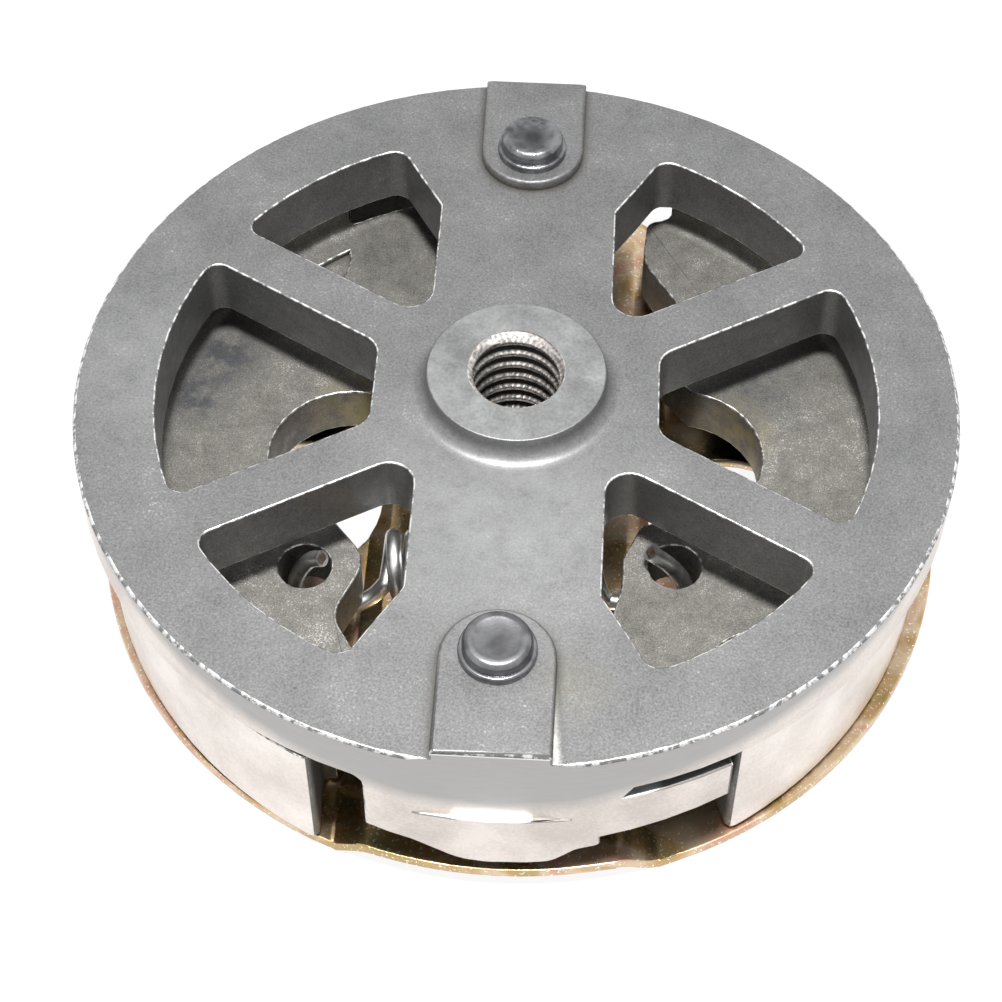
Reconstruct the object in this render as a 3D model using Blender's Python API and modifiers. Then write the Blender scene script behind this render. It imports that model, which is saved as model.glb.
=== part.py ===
# Two-shoe centrifugal clutch: a sintered carrier disc with a threaded hub, two sliding shoes
# held in by two tension springs, and a pressed retainer plate held on by two rivets.
#
# Frame: metres, +Z up along the hub's axis, rivets on the Y axis, origin on the hub's axis at
# the underside of the retainer plate. The clutch is the same after half a turn about +Z, so
# the front lug, the left shoe and the front spring are drawn, and their partners are turned.

import math

import bmesh
import bpy
from mathutils import Matrix, Vector

MM = 0.001

# Clearances
SEAT_GAP = 0.3 * MM
SHOE_END_GAP = 0.5 * MM
SHOE_SIDE_GAP = 0.7 * MM
HOLE_PLAY = 0.25 * MM

# Retainer plate
PLATE_INSET = 0.2 * MM
PLATE_SHIFT_X = 0.4 * MM
SHEET = 1.2 * MM
STRIP_RISE = 1.6 * MM
STRIP_HALF_WIDTH = 11.6 * MM
BEND_WIDTH = 2.4 * MM
PLATE_HOLE_RADIUS = 7.8 * MM
PLATE_HOLE_X = 20.8 * MM
PLATE_BORE_RADIUS = 6.2 * MM

# Heights of the shoes above the plate
SHOE_LIFT = 0.4 * MM
WALL_HEIGHT = 13.3 * MM
WEB_LIFT = 3.6 * MM
WEB_THICKNESS = 5.2 * MM

# Carrier disc
DISC_RADIUS = 40.3 * MM
DISC_THICKNESS = 5.0 * MM
RIM_CHAMFER = 0.3 * MM
SPOKE_DROP = 1.15 * MM
SPOKE_STEP = 0.3 * MM

# Hub
HUB_RADIUS = 8.2 * MM
HUB_RISE = 2.4 * MM
HUB_FILLET = 1.6 * MM
HUB_EDGE = 0.15 * MM
HUB_TAIL_RADIUS = 7.0 * MM
BORE_RADIUS = 3.97 * MM
BORE_CHAMFER = 0.5 * MM

# Windows between the spokes
RIM_WIDTH = 7.4 * MM
NARROW_SPOKE_HALF = 2.5 * MM
WIDE_SPOKE_HALF = 8.5 * MM
WIDE_SPOKE_FLARE = 4.4 * MM
FLARE_LENGTH = 10.1 * MM
FLARE_KINK_X = 2.2 * MM
FLARE_KINK_DEPTH = 6.5 * MM
SIDE_WINDOW_X = 13.1 * MM
WINDOW_CORNER = 2.2 * MM
END_WINDOW_CORNER = 3.2 * MM
NARROW_SPOKE_ANGLE = 30.0

# Rivets and the pads under their heads
RIVET_INSET = 10.6 * MM
SHANK_RADIUS = 2.1 * MM
HEAD_RADIUS = 3.0 * MM
HEAD_HEIGHT = 2.2 * MM
COLLAR_RADIUS = 3.4 * MM
COLLAR_HEIGHT = 0.7 * MM
HEAD_DISH = 0.25 * MM
TAIL_RADIUS = 3.3 * MM
TAIL_HEIGHT = 1.0 * MM
PAD_HALF_WIDTH = 5.0 * MM
PAD_ROUND_SHIFT = 0.5 * MM
PAD_RISE = 1.1 * MM
PAD_EDGE = 0.3 * MM
PAD_FLAT_DEPTH = 0.6 * MM
PAD_FLAT_DROP = 8.7 * MM

# Lugs under the disc, drawn for the front one
LUG_DROP = 10.7 * MM
LUG_LEFT_X = 10.8 * MM
LUG_RIGHT_X = 9.3 * MM
LUG_NECK_HALF = 5.6 * MM
LUG_ROOT_FILLET = 1.3 * MM
LUG_FACE_LEFT_X = 2.3 * MM
LUG_FACE_RIGHT_X = 5.1 * MM
LUG_STEP_X = 7.2 * MM
LUG_RAMP_X = 6.4 * MM
LUG_RAMP_RISE = 2.2 * MM
LUG_SIDE_RISE = 3.3 * MM
LUG_STEP_RISE = 1.7 * MM
RIVET_BOSS_RADIUS = 5.0 * MM

# The lug's driving finger
FINGER_TOP_GAP = 1.35 * MM
FINGER_ROOT_HEIGHT = 5.95 * MM
FINGER_TIP_HEIGHT = 4.85 * MM
FINGER_WIDTH = 4.6 * MM
SLOT_END_ANGLE = 74.1
SLOT_SLANT = 0.9 * MM

# Shoe outline, drawn for the left shoe
FACE_SWELL = 1.15 * MM
FACE_SHIFT = 2.6 * MM
WALL_INSET = 6.1 * MM
WALL_FILLET = 1.3 * MM
WALL_NEAR_ANGLE = 247.9
WALL_FAR_ANGLE = 120.8
WALL_CORNER = 2.0 * MM
WALL_NEAR_LEAN = 0.35 * MM
WALL_FAR_LEAN = 2.1 * MM
WEB_END_INSET = 9.2 * MM
FINGER_PLAY = 1.8 * MM
NOTCH_RADIUS = 7.7 * MM
NOTCH_X = 15.6 * MM
NOTCH_Y = -0.9 * MM
NOSE_TIP_X = 12.9 * MM
NOSE_TIP_Y = 12.9 * MM
NOSE_BITE_X = 15.5 * MM
NOSE_BITE_Y = 19.4 * MM
NOSE_HEEL_LENGTH = 5.5 * MM
NOSE_HEEL_ROUND = 5.0 * MM
TAIL_TIP_X = 10.45 * MM
TAIL_TIP_Y = 11.5 * MM
TAIL_SIDE_Y = 14.6 * MM
TAIL_END_X = 7.4 * MM
TAIL_END_INSET = 6.0 * MM
SPOT_SETBACK = 0.95846 * MM
SPOT_ANGLE = 133.78112
SPOT_RADIUS = 5.0 * MM
SPOT_DEPTH = 0.6 * MM
SPOT_INSET = 2.9 * MM

# Spring holes in the left shoe's web
SPRING_HOLE_RADIUS = 2.44 * MM
NEAR_HOLE_X = 18.5 * MM
NEAR_HOLE_Y = 14.1 * MM
FAR_HOLE_X = 15.2 * MM
FAR_HOLE_Y = 12.2 * MM

# Springs, drawn for the front one
WIRE = 1.55 * MM
COIL_DIAMETER = 6.9 * MM
COIL_LEFT_X = 11.3 * MM
COIL_RIGHT_X = 7.4 * MM
COIL_LEFT_Y = 12.7 * MM
COIL_RIGHT_Y = 11.7 * MM
COIL_LIFT = 0.45 * MM
COIL_TURNS = 10.5
COIL_POINTS_PER_TURN = 12
LEFT_TIP_REACH = 1.6 * MM
LEFT_TIP_RISE = 1.25 * MM
RIGHT_TIP_REACH = 2.35 * MM
RIGHT_TIP_RISE = 2.05 * MM
HOOK_POINTS_PER_MM = 1.6

TURN_STEPS = 84
FACE_STEPS = 40
RIVET_STEPS = 24
CUT_MARGIN = 1.0 * MM
MERGE = 1e-6

# Radii and places that follow from the disc's radius
PLATE_RADIUS = DISC_RADIUS - PLATE_INSET
WINDOW_RADIUS = DISC_RADIUS - RIM_WIDTH
FLARE_START_Y = WINDOW_RADIUS - FLARE_LENGTH
FLARE_KINK_Y = WINDOW_RADIUS - FLARE_KINK_DEPTH
SPOKE_STEP_RADIUS = WINDOW_RADIUS + SPOKE_STEP
RIVET_Y = DISC_RADIUS - RIVET_INSET
PAD_CENTRE_Y = RIVET_Y + PAD_ROUND_SHIFT
PAD_FLAT_Y = DISC_RADIUS - PAD_FLAT_DEPTH
FINGER_INNER_RADIUS = DISC_RADIUS - FINGER_WIDTH
FACE_RADIUS = DISC_RADIUS + FACE_SWELL
WALL_INNER_RADIUS = DISC_RADIUS - WALL_INSET
WEB_FAR_RADIUS = FINGER_INNER_RADIUS - FINGER_PLAY
WEB_NEAR_Y = DISC_RADIUS - WEB_END_INSET
NOSE_HEEL_Y = WEB_NEAR_Y - NOSE_HEEL_LENGTH
TAIL_END_Y = WEB_FAR_RADIUS - TAIL_END_INSET
SPOT_EDGE_RADIUS = WALL_INNER_RADIUS - SPOT_INSET

# Heights that follow from the sizes above
SHEET_TOP = SHEET
STRIP_TOP = SHEET + STRIP_RISE
WALL_BOTTOM = SHEET_TOP + SHOE_LIFT
WALL_TOP = WALL_BOTTOM + WALL_HEIGHT
WEB_BOTTOM = WALL_BOTTOM + WEB_LIFT
WEB_TOP = WEB_BOTTOM + WEB_THICKNESS
DISC_BOTTOM = WALL_TOP + SEAT_GAP
DISC_TOP = DISC_BOTTOM + DISC_THICKNESS
SPOKE_BOTTOM = DISC_BOTTOM - SPOKE_DROP
HUB_TOP = DISC_TOP + HUB_RISE
PAD_TOP = DISC_TOP + PAD_RISE
LUG_BOTTOM = DISC_BOTTOM - LUG_DROP
SEAT_Z = STRIP_TOP + SEAT_GAP
FINGER_TOP = DISC_BOTTOM - FINGER_TOP_GAP

COLORS = {
    "sintered steel": ((0.30, 0.30, 0.30), 0.55, 0.8),
    "shoe steel": ((0.36, 0.34, 0.31), 0.55, 0.8),
    "yellow zinc": ((0.55, 0.48, 0.27), 0.3, 1.0),
    "rivet steel": ((0.20, 0.20, 0.22), 0.35, 1.0),
    "spring steel": ((0.50, 0.50, 0.50), 0.3, 1.0),
}


# Scene, collections and materials

for old in list(bpy.data.objects):
    bpy.data.objects.remove(old, do_unlink=True)

parts = bpy.data.collections.new("centrifugal_clutch")
cutters = bpy.data.collections.new("cutters")
bpy.context.scene.collection.children.link(parts)
bpy.context.scene.collection.children.link(cutters)


def material(name):
    """Return the named metal, made on its first use."""
    found = bpy.data.materials.get(name)
    if found:
        return found
    color, roughness, metallic = COLORS[name]
    made = bpy.data.materials.new(name)
    made.use_nodes = True
    shader = made.node_tree.nodes["Principled BSDF"]
    shader.inputs["Base Color"].default_value = (*color, 1.0)
    shader.inputs["Roughness"].default_value = roughness
    shader.inputs["Metallic"].default_value = metallic
    return made


def add_part(name, mesh, metal):
    """Put a finished mesh in the part's collection under its own name and metal."""
    part = bpy.data.objects.new(name, mesh)
    part.data.materials.clear()
    part.data.materials.append(material(metal))
    parts.objects.link(part)
    return part


def hide_cutter(cutter):
    """Keep a cutter out of the finished part."""
    cutter.hide_render = True
    cutter.display_type = "WIRE"


# Outlines in the XY plane: lists of corners (x, y, rounding radius)

def polar(radius, degrees):
    angle = math.radians(degrees)
    return radius * math.cos(angle), radius * math.sin(angle)


def arc(radius, start, end, steps, centre=(0.0, 0.0)):
    """Corners along an arc, from start to end in degrees."""
    corners = []
    for step in range(steps + 1):
        x, y = polar(radius, start + (end - start) * step / steps)
        corners.append((centre[0] + x, centre[1] + y, 0.0))
    return corners


def half_turn(corners):
    """The same corners after half a turn about the hub's axis."""
    return [(-x, -y, rounding) for x, y, rounding in corners]


def rounded(corners, step_degrees=15.0):
    """Points of a closed outline, with each corner rounded by its own radius."""
    points = []
    count = len(corners)
    for index, (x, y, radius) in enumerate(corners):
        corner = Vector((x, y))
        if radius == 0.0:
            points.append(corner)
            continue
        before = Vector(corners[index - 1][:2]) - corner
        after = Vector(corners[(index + 1) % count][:2]) - corner
        half_angle = before.angle(after) / 2
        reach = min(radius / math.tan(half_angle), before.length * 0.49, after.length * 0.49)
        radius = reach * math.tan(half_angle)
        middle = corner + (before.normalized() + after.normalized()).normalized() \
            * (radius / math.sin(half_angle))
        first = corner + before.normalized() * reach - middle
        last = corner + after.normalized() * reach - middle
        sweep = first.angle_signed(last)
        steps = max(2, math.ceil(abs(math.degrees(sweep)) / step_degrees))
        for step in range(steps + 1):
            turn = Matrix.Rotation(-sweep * step / steps, 2)
            points.append(middle + turn @ first)
    return points


def mesh_of(source):
    """The mesh that an object shows, with the loose caps of a curve welded on."""
    graph = bpy.context.evaluated_depsgraph_get()
    graph.update()
    mesh = bpy.data.meshes.new_from_object(source.evaluated_get(graph))
    work = bmesh.new()
    work.from_mesh(mesh)
    bmesh.ops.remove_doubles(work, verts=work.verts, dist=MERGE)
    work.to_mesh(mesh)
    work.free()
    return mesh


def sheet_solid(name, outlines, bottom, top):
    """A solid of constant thickness from closed outlines; the later ones are holes or islands."""
    curve = bpy.data.curves.new(name, "CURVE")
    curve.dimensions = "2D"
    curve.fill_mode = "BOTH"
    curve.extrude = (top - bottom) / 2
    for outline in outlines:
        spline = curve.splines.new("POLY")
        spline.points.add(len(outline) - 1)
        for point, (x, y) in zip(spline.points, outline):
            point.co = (x, y, 0.0, 1.0)
        spline.use_cyclic_u = True
    drawn = bpy.data.objects.new(name, curve)
    cutters.objects.link(drawn)
    mesh = mesh_of(drawn)
    bpy.data.objects.remove(drawn, do_unlink=True)
    bpy.data.curves.remove(curve)
    mesh.transform(Matrix.Translation((0.0, 0.0, (top + bottom) / 2)))
    solid = bpy.data.objects.new(name, mesh)
    cutters.objects.link(solid)
    hide_cutter(solid)
    return solid


def stand_along_y(solid, front, back):
    """Turn a solid drawn in XY so that its drawing stands in XZ, between two values of y."""
    low = min(vertex.co.z for vertex in solid.data.vertices)
    high = max(vertex.co.z for vertex in solid.data.vertices)
    scale = (back - front) / (high - low)
    for vertex in solid.data.vertices:
        x, y, z = vertex.co
        vertex.co = (x, back - (z - low) * scale, y)


def turned(name, profile, closed, steps=TURN_STEPS):
    """A turned solid from a profile of (radius, z) that runs from its top down its outside."""
    mesh = bpy.data.meshes.new(name)
    work = bmesh.new()
    verts = [work.verts.new((radius, 0.0, z)) for radius, z in profile]
    for first, second in zip(verts, verts[1:]):
        work.edges.new((first, second))
    if closed:
        work.edges.new((verts[-1], verts[0]))
    work.to_mesh(mesh)
    work.free()
    blank = bpy.data.objects.new(name, mesh)
    cutters.objects.link(blank)
    screw = blank.modifiers.new("turn", "SCREW")
    screw.axis = "Z"
    screw.steps = steps
    screw.render_steps = steps
    screw.use_merge_vertices = True
    screw.merge_threshold = MERGE
    screw.use_smooth_shade = True
    finished = mesh_of(blank)
    bpy.data.objects.remove(blank, do_unlink=True)
    return finished


def combine(part, other, operation):
    """Cut, join or intersect a part with another solid."""
    boolean = part.modifiers.new(other.name, "BOOLEAN")
    boolean.operation = operation
    boolean.solver = "EXACT"
    boolean.object = other
    hide_cutter(other)


def turned_copy(source, name, metal):
    """The partner of a piece: its finished mesh after half a turn about the hub's axis."""
    mesh = mesh_of(source)
    mesh.transform(Matrix.Rotation(math.pi, 4, "Z"))
    return add_part(name, mesh, metal)


def circle(radius, centre=(0.0, 0.0), steps=32):
    return rounded(arc(radius, 0.0, 360.0 * (steps - 1) / steps, steps - 1, centre))


# Carrier: disc, hub, spokes, lugs and pads in one piece

def window_outlines():
    """The six windows: one beside each narrow spoke's two sides, closed by the wide spokes."""
    slope = math.radians(NARROW_SPOKE_ANGLE)
    along = Vector((math.cos(slope), math.sin(slope)))
    across = Vector((-math.sin(slope), math.cos(slope)))

    def on_spoke(distance, side):
        point = along * distance + across * (side * NARROW_SPOKE_HALF)
        return point.x, point.y

    def at_x(x, side):
        return on_spoke((x - across.x * side * NARROW_SPOKE_HALF) / along.x, side)

    reach = math.sqrt(WINDOW_RADIUS ** 2 - NARROW_SPOKE_HALF ** 2)
    upper_end = on_spoke(reach, 1)
    lower_end = on_spoke(reach, -1)
    flare_x = WIDE_SPOKE_HALF + WIDE_SPOKE_FLARE
    flare_y = math.sqrt(WINDOW_RADIUS ** 2 - flare_x ** 2)
    upper_start = math.degrees(math.atan2(upper_end[1], upper_end[0]))
    upper_stop = math.degrees(math.atan2(flare_y, flare_x))
    corner = WINDOW_CORNER
    end_window = [(*at_x(WIDE_SPOKE_HALF, 1), corner), (*upper_end, END_WINDOW_CORNER)]
    end_window += arc(WINDOW_RADIUS, upper_start, upper_stop, 6)[1:-1]
    end_window += [(flare_x, flare_y, corner)]
    end_window += [(WIDE_SPOKE_HALF + FLARE_KINK_X, FLARE_KINK_Y, corner / 2)]
    end_window += [(WIDE_SPOKE_HALF, FLARE_START_Y, corner / 2)]
    side_angle = math.degrees(math.atan2(lower_end[1], lower_end[0]))
    side_start = at_x(SIDE_WINDOW_X, -1)
    side_window = [(side_start[0], -side_start[1], corner), (lower_end[0], -lower_end[1], corner)]
    side_window += arc(WINDOW_RADIUS, -side_angle, side_angle, 9)[1:-1]
    side_window += [(*lower_end, corner), (*side_start, corner)]
    mirrored = [(-x, y, rounding) for x, y, rounding in end_window]
    shapes = [end_window, mirrored, half_turn(end_window), half_turn(mirrored)]
    shapes += [side_window, half_turn(side_window)]
    return [rounded(shape) for shape in shapes]


def finger_tip_line():
    """The outer and inner end of the finger's tip, parallel to the shoe's end before it."""
    outer, inner = wall_far_line()
    shift = SHOE_END_GAP
    tip_outer = (-outer[0] - shift, -outer[1])
    tip_inner = (-inner[0] - shift, -inner[1])
    return tip_outer, tip_inner


def line_at_radius(first, second, radius):
    """Where the line through two points crosses a circle about the hub, nearest to first."""
    start = Vector(first)
    step = Vector(second) - start
    b = start.dot(step)
    a = step.length_squared
    root = math.sqrt(b * b - a * (start.length_squared - radius * radius))
    shares = sorted(((-b - root) / a, (-b + root) / a), key=abs)
    point = start + step * shares[0]
    return point.x, point.y


def lug_footprint(outside):
    """The front lug and its finger seen from above, from left to right, out to a radius."""
    left_y = -math.sqrt(outside ** 2 - LUG_LEFT_X ** 2)
    shoulder_y = -RIVET_Y - RIVET_BOSS_RADIUS / 2
    tip_outer, tip_inner = finger_tip_line()
    tip_rim = line_at_radius(tip_outer, tip_inner, outside)
    tip_foot = line_at_radius(tip_inner, tip_outer, FINGER_INNER_RADIUS)
    root_y = -math.sqrt(FINGER_INNER_RADIUS ** 2 - LUG_NECK_HALF ** 2)
    root_angle = math.degrees(math.atan2(root_y, LUG_NECK_HALF))
    tip_angle = math.degrees(math.atan2(tip_foot[1], tip_foot[0]))
    corners = [(-LUG_LEFT_X, left_y, 0.0), (-LUG_LEFT_X, shoulder_y, 1.0 * MM)]
    corners += arc(LUG_NECK_HALF, 180.0, 0.0, 10, centre=(0.0, -RIVET_Y))
    corners += arc(FINGER_INNER_RADIUS, root_angle, tip_angle, 7)
    corners += [(*tip_rim, 0.0)]
    return corners


def clearing_outline():
    """What is cut away under the disc: all of the skirt but the two lugs."""
    outside = DISC_RADIUS + 2 * CUT_MARGIN
    front = lug_footprint(outside)
    rear = half_turn(front)
    first = math.degrees(math.atan2(front[-1][1], front[-1][0]))
    last = math.degrees(math.atan2(rear[0][1], rear[0][0]))
    right_side = arc(outside, first, last, 24)[1:-1]
    return rounded(front + right_side + rear + half_turn(right_side))


def carrier_profile(skirt_inner):
    """The turned blank: hub, disc and a skirt from which the lugs are cut."""
    fillet = []
    for step in range(7):
        angle = math.radians(180.0 + 15.0 * step)
        fillet.append((HUB_RADIUS + HUB_FILLET * (1 + math.cos(angle)),
                       DISC_TOP + HUB_FILLET * (1 + math.sin(angle))))
    profile = [(BORE_RADIUS + BORE_CHAMFER, HUB_TOP)]
    profile += [(HUB_RADIUS - HUB_EDGE, HUB_TOP), (HUB_RADIUS, HUB_TOP - HUB_EDGE)]
    profile += fillet
    profile += [(DISC_RADIUS - RIM_CHAMFER, DISC_TOP), (DISC_RADIUS, DISC_TOP - RIM_CHAMFER)]
    skirt_bottom = LUG_BOTTOM - CUT_MARGIN / 2
    profile += [(DISC_RADIUS, skirt_bottom), (skirt_inner, skirt_bottom)]
    profile += [(skirt_inner, SPOKE_BOTTOM), (HUB_TAIL_RADIUS, SPOKE_BOTTOM)]
    profile += [(HUB_TAIL_RADIUS, SEAT_Z + RIM_CHAMFER)]
    profile += [(HUB_TAIL_RADIUS - RIM_CHAMFER, SEAT_Z), (BORE_RADIUS + BORE_CHAMFER, SEAT_Z)]
    profile += [(BORE_RADIUS, SEAT_Z + BORE_CHAMFER), (BORE_RADIUS, HUB_TOP - BORE_CHAMFER)]
    return profile


def lug_underside_cutter():
    """The stepped and ramped underside of a lug and its finger, drawn in XZ for the front."""
    low = LUG_BOTTOM - CUT_MARGIN
    finger_root = FINGER_TOP - FINGER_ROOT_HEIGHT
    finger_tip = FINGER_TOP - FINGER_TIP_HEIGHT
    tip_x = finger_tip_line()[0][0] + CUT_MARGIN
    side_x = LUG_LEFT_X + CUT_MARGIN
    step_z = LUG_BOTTOM + LUG_STEP_RISE
    corners = [(-side_x, LUG_BOTTOM + LUG_SIDE_RISE, 0.0)]
    corners += [(-LUG_RAMP_X, LUG_BOTTOM + LUG_RAMP_RISE, 4.0 * MM)]
    corners += [(-LUG_FACE_LEFT_X, LUG_BOTTOM, 6.0 * MM), (LUG_FACE_RIGHT_X, LUG_BOTTOM, 2.0 * MM)]
    corners += [(LUG_STEP_X, step_z, 1.2 * MM), (LUG_RIGHT_X, step_z + 0.4 * MM, 0.4 * MM)]
    corners += [(LUG_RIGHT_X, finger_root, 0.0), (tip_x, finger_tip, 0.0)]
    corners += [(tip_x, low, 0.0), (-side_x, low, 0.0)]
    cutter = sheet_solid("lug_underside", [rounded(corners)], 0.0, MM)
    stand_along_y(cutter, -DISC_RADIUS - CUT_MARGIN, -RIVET_Y + RIVET_BOSS_RADIUS * 2)
    return cutter


def slot_cutter():
    """The saw slot between the finger and the disc, with its slanted inner end."""
    outside = DISC_RADIUS + CUT_MARGIN
    inside = FINGER_INNER_RADIUS - CUT_MARGIN
    tip_x, tip_y = finger_tip_line()[0]
    tip_angle = math.degrees(math.atan2(tip_y, tip_x)) + 3.0
    outer = arc(outside, -SLOT_END_ANGLE, tip_angle, 5)
    inner = arc(inside, tip_angle, -SLOT_END_ANGLE, 5)
    cutter = sheet_solid("finger_slot", [rounded(outer + inner)], FINGER_TOP, DISC_BOTTOM)
    end_x = polar(outside, -SLOT_END_ANGLE)[0] + MERGE
    for vertex in cutter.data.vertices:
        if vertex.co.x < end_x and vertex.co.z > (FINGER_TOP + DISC_BOTTOM) / 2:
            vertex.co.x += SLOT_SLANT
    return cutter


def round_lug_roots(clearing):
    """Round the clearing's upper edge along each lug's plain side, for a fillet at its root."""
    work = bmesh.new()
    work.from_mesh(clearing.data)
    bmesh.ops.dissolve_limit(work, angle_limit=0.01, verts=work.verts, edges=work.edges)
    roots = [edge for edge in work.edges
             if all(abs(vert.co.z - DISC_BOTTOM) < MERGE and abs(vert.co.y) > RIVET_Y
                    and abs(abs(vert.co.x) - LUG_LEFT_X) < MERGE for vert in edge.verts)]
    bmesh.ops.bevel(work, geom=roots, offset=LUG_ROOT_FILLET, segments=4, profile=0.5,
                    affect="EDGES", material=-1)
    work.to_mesh(clearing.data)
    work.free()


def both_ends(solid):
    """Add to a solid its own copy after half a turn."""
    work = bmesh.new()
    work.from_mesh(solid.data)
    copied = bmesh.ops.duplicate(work, geom=work.verts[:] + work.edges[:] + work.faces[:])
    verts = [item for item in copied["geom"] if isinstance(item, bmesh.types.BMVert)]
    bmesh.ops.rotate(work, verts=verts, cent=(0.0, 0.0, 0.0),
                     matrix=Matrix.Rotation(math.pi, 3, "Z"))
    work.to_mesh(solid.data)
    work.free()
    return solid


def pad_solid():
    """The U-shaped pad under the front rivet's head, with its upper edge broken."""
    corners = [(-PAD_HALF_WIDTH, -PAD_FLAT_Y, 0.0)]
    corners += arc(PAD_HALF_WIDTH, 180.0, 0.0, 14, centre=(0.0, -PAD_CENTRE_Y))
    corners += [(PAD_HALF_WIDTH, -PAD_FLAT_Y, 0.0)]
    middle = DISC_TOP - DISC_THICKNESS / 2
    pad = sheet_solid("pads", [rounded(corners)], middle, PAD_TOP)
    work = bmesh.new()
    work.from_mesh(pad.data)
    bmesh.ops.dissolve_limit(work, angle_limit=0.01, verts=work.verts, edges=work.edges)
    top_edges = [edge for edge in work.edges
                 if all(abs(vert.co.z - PAD_TOP) < MERGE for vert in edge.verts)
                 and any(abs(face.normal.z) < 0.5 for face in edge.link_faces)]
    bmesh.ops.bevel(work, geom=top_edges, offset=PAD_EDGE, segments=1, profile=0.5,
                    affect="EDGES", material=-1)
    work.to_mesh(pad.data)
    work.free()
    return pad


def make_carrier():
    skirt_inner = RIVET_Y - RIVET_BOSS_RADIUS * 2
    carrier = add_part("carrier", turned("carrier", carrier_profile(skirt_inner), True),
                       "sintered steel")
    low = LUG_BOTTOM - CUT_MARGIN
    clearing = sheet_solid("clearing", [clearing_outline(), circle(skirt_inner - 2 * CUT_MARGIN, steps=TURN_STEPS)],
                           low, DISC_BOTTOM)
    round_lug_roots(clearing)
    middle = sheet_solid("spoke_middle", [circle(SPOKE_STEP_RADIUS, steps=TURN_STEPS)],
                         SPOKE_BOTTOM, DISC_BOTTOM + CUT_MARGIN)
    combine(clearing, middle, "DIFFERENCE")
    windows = sheet_solid("windows", window_outlines(), SPOKE_BOTTOM - CUT_MARGIN,
                          DISC_TOP + CUT_MARGIN)
    combine(carrier, windows, "DIFFERENCE")
    combine(carrier, both_ends(slot_cutter()), "DIFFERENCE")
    combine(carrier, both_ends(lug_underside_cutter()), "DIFFERENCE")
    combine(carrier, clearing, "DIFFERENCE")
    combine(carrier, both_ends(pad_solid()), "UNION")
    flat_half = PAD_HALF_WIDTH * 1.6
    beyond = DISC_RADIUS + CUT_MARGIN
    flat = [(-flat_half, -beyond), (flat_half, -beyond), (flat_half, -PAD_FLAT_Y),
            (-flat_half, -PAD_FLAT_Y)]
    flats = sheet_solid("pad_flats", [flat], DISC_TOP - PAD_FLAT_DROP, PAD_TOP + CUT_MARGIN)
    combine(carrier, both_ends(flats), "DIFFERENCE")
    boss = circle(RIVET_BOSS_RADIUS, (0.0, -RIVET_Y))
    bosses = sheet_solid("rivet_bosses", [boss], SEAT_Z, LUG_BOTTOM + CUT_MARGIN)
    combine(carrier, both_ends(bosses), "UNION")
    hole = circle(SHANK_RADIUS + HOLE_PLAY, (0.0, -RIVET_Y), 24)
    holes = sheet_solid("rivet_holes", [hole], SEAT_Z - CUT_MARGIN, PAD_TOP + CUT_MARGIN)
    combine(carrier, both_ends(holes), "DIFFERENCE")
    return carrier


# Shoes: a heavy rim wall with a web that carries the spring holes

def face_point(degrees):
    """Where the left shoe's outer face, ground to the drum's radius, crosses a ray."""
    angle = math.radians(degrees)
    along = FACE_SHIFT * math.cos(angle)
    aside = FACE_SHIFT * math.sin(angle)
    return polar(along + math.sqrt(FACE_RADIUS ** 2 - aside ** 2), degrees)


def wall_far_line():
    """The left shoe's end face at the rear finger: its outer corner, and a point inward."""
    outer = face_point(WALL_FAR_ANGLE)
    drop = DISC_RADIUS - WEB_FAR_RADIUS
    return outer, (outer[0] + WALL_FAR_LEAN, outer[1] - drop)


def wall_near_line():
    """The left shoe's end face beside the front lug: its outer corner, and its inner one."""
    outer = face_point(WALL_NEAR_ANGLE)
    return outer, (outer[0] - WALL_NEAR_LEAN, -WEB_NEAR_Y)


def shoe_outline():
    """The left shoe from above, from its end at the front lug round the web to its far end."""
    near_rim, near_foot = wall_near_line()
    far_rim, far_inner = wall_far_line()
    far_foot = line_at_radius(far_inner, far_rim, WEB_FAR_RADIUS)
    far_angle = math.degrees(math.atan2(far_foot[1], far_foot[0]))
    web_side = -LUG_LEFT_X - SHOE_SIDE_GAP
    notch = (-NOTCH_X, NOTCH_Y)
    tail_angle = 180.0 - math.degrees(math.asin(TAIL_END_X / WEB_FAR_RADIUS)) - 90.0
    corners = [(*near_rim, WALL_CORNER), (*near_foot, 0.6 * MM)]
    corners += [(web_side - 0.4 * MM, -WEB_NEAR_Y, 0.8 * MM), (web_side, -NOSE_HEEL_Y, NOSE_HEEL_ROUND)]
    corners += [(-NOSE_BITE_X, -NOSE_BITE_Y, 3.0 * MM), (-NOSE_TIP_X, -NOSE_TIP_Y, 3.4 * MM)]
    corners += arc(NOTCH_RADIUS, 263.0, 82.0, 16, centre=notch)
    corners += [(-TAIL_TIP_X - 1.6 * MM, NOTCH_Y + NOTCH_RADIUS + 1.0 * MM, 1.5 * MM)]
    corners += [(-TAIL_TIP_X, TAIL_TIP_Y, 2.0 * MM), (-TAIL_TIP_X, TAIL_SIDE_Y, 3.0 * MM)]
    corners += [(-TAIL_END_X, TAIL_END_Y, 2.0 * MM)]
    corners += arc(WEB_FAR_RADIUS, 180.0 - tail_angle, far_angle, 5)[:-1]
    corners += [(*far_foot, 0.6 * MM), (*far_rim, WALL_CORNER)]
    for step in range(1, FACE_STEPS):
        share = step / FACE_STEPS
        degrees = WALL_FAR_ANGLE + (WALL_NEAR_ANGLE - WALL_FAR_ANGLE) * share
        corners.append((*face_point(degrees), 0.0))
    return corners


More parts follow.
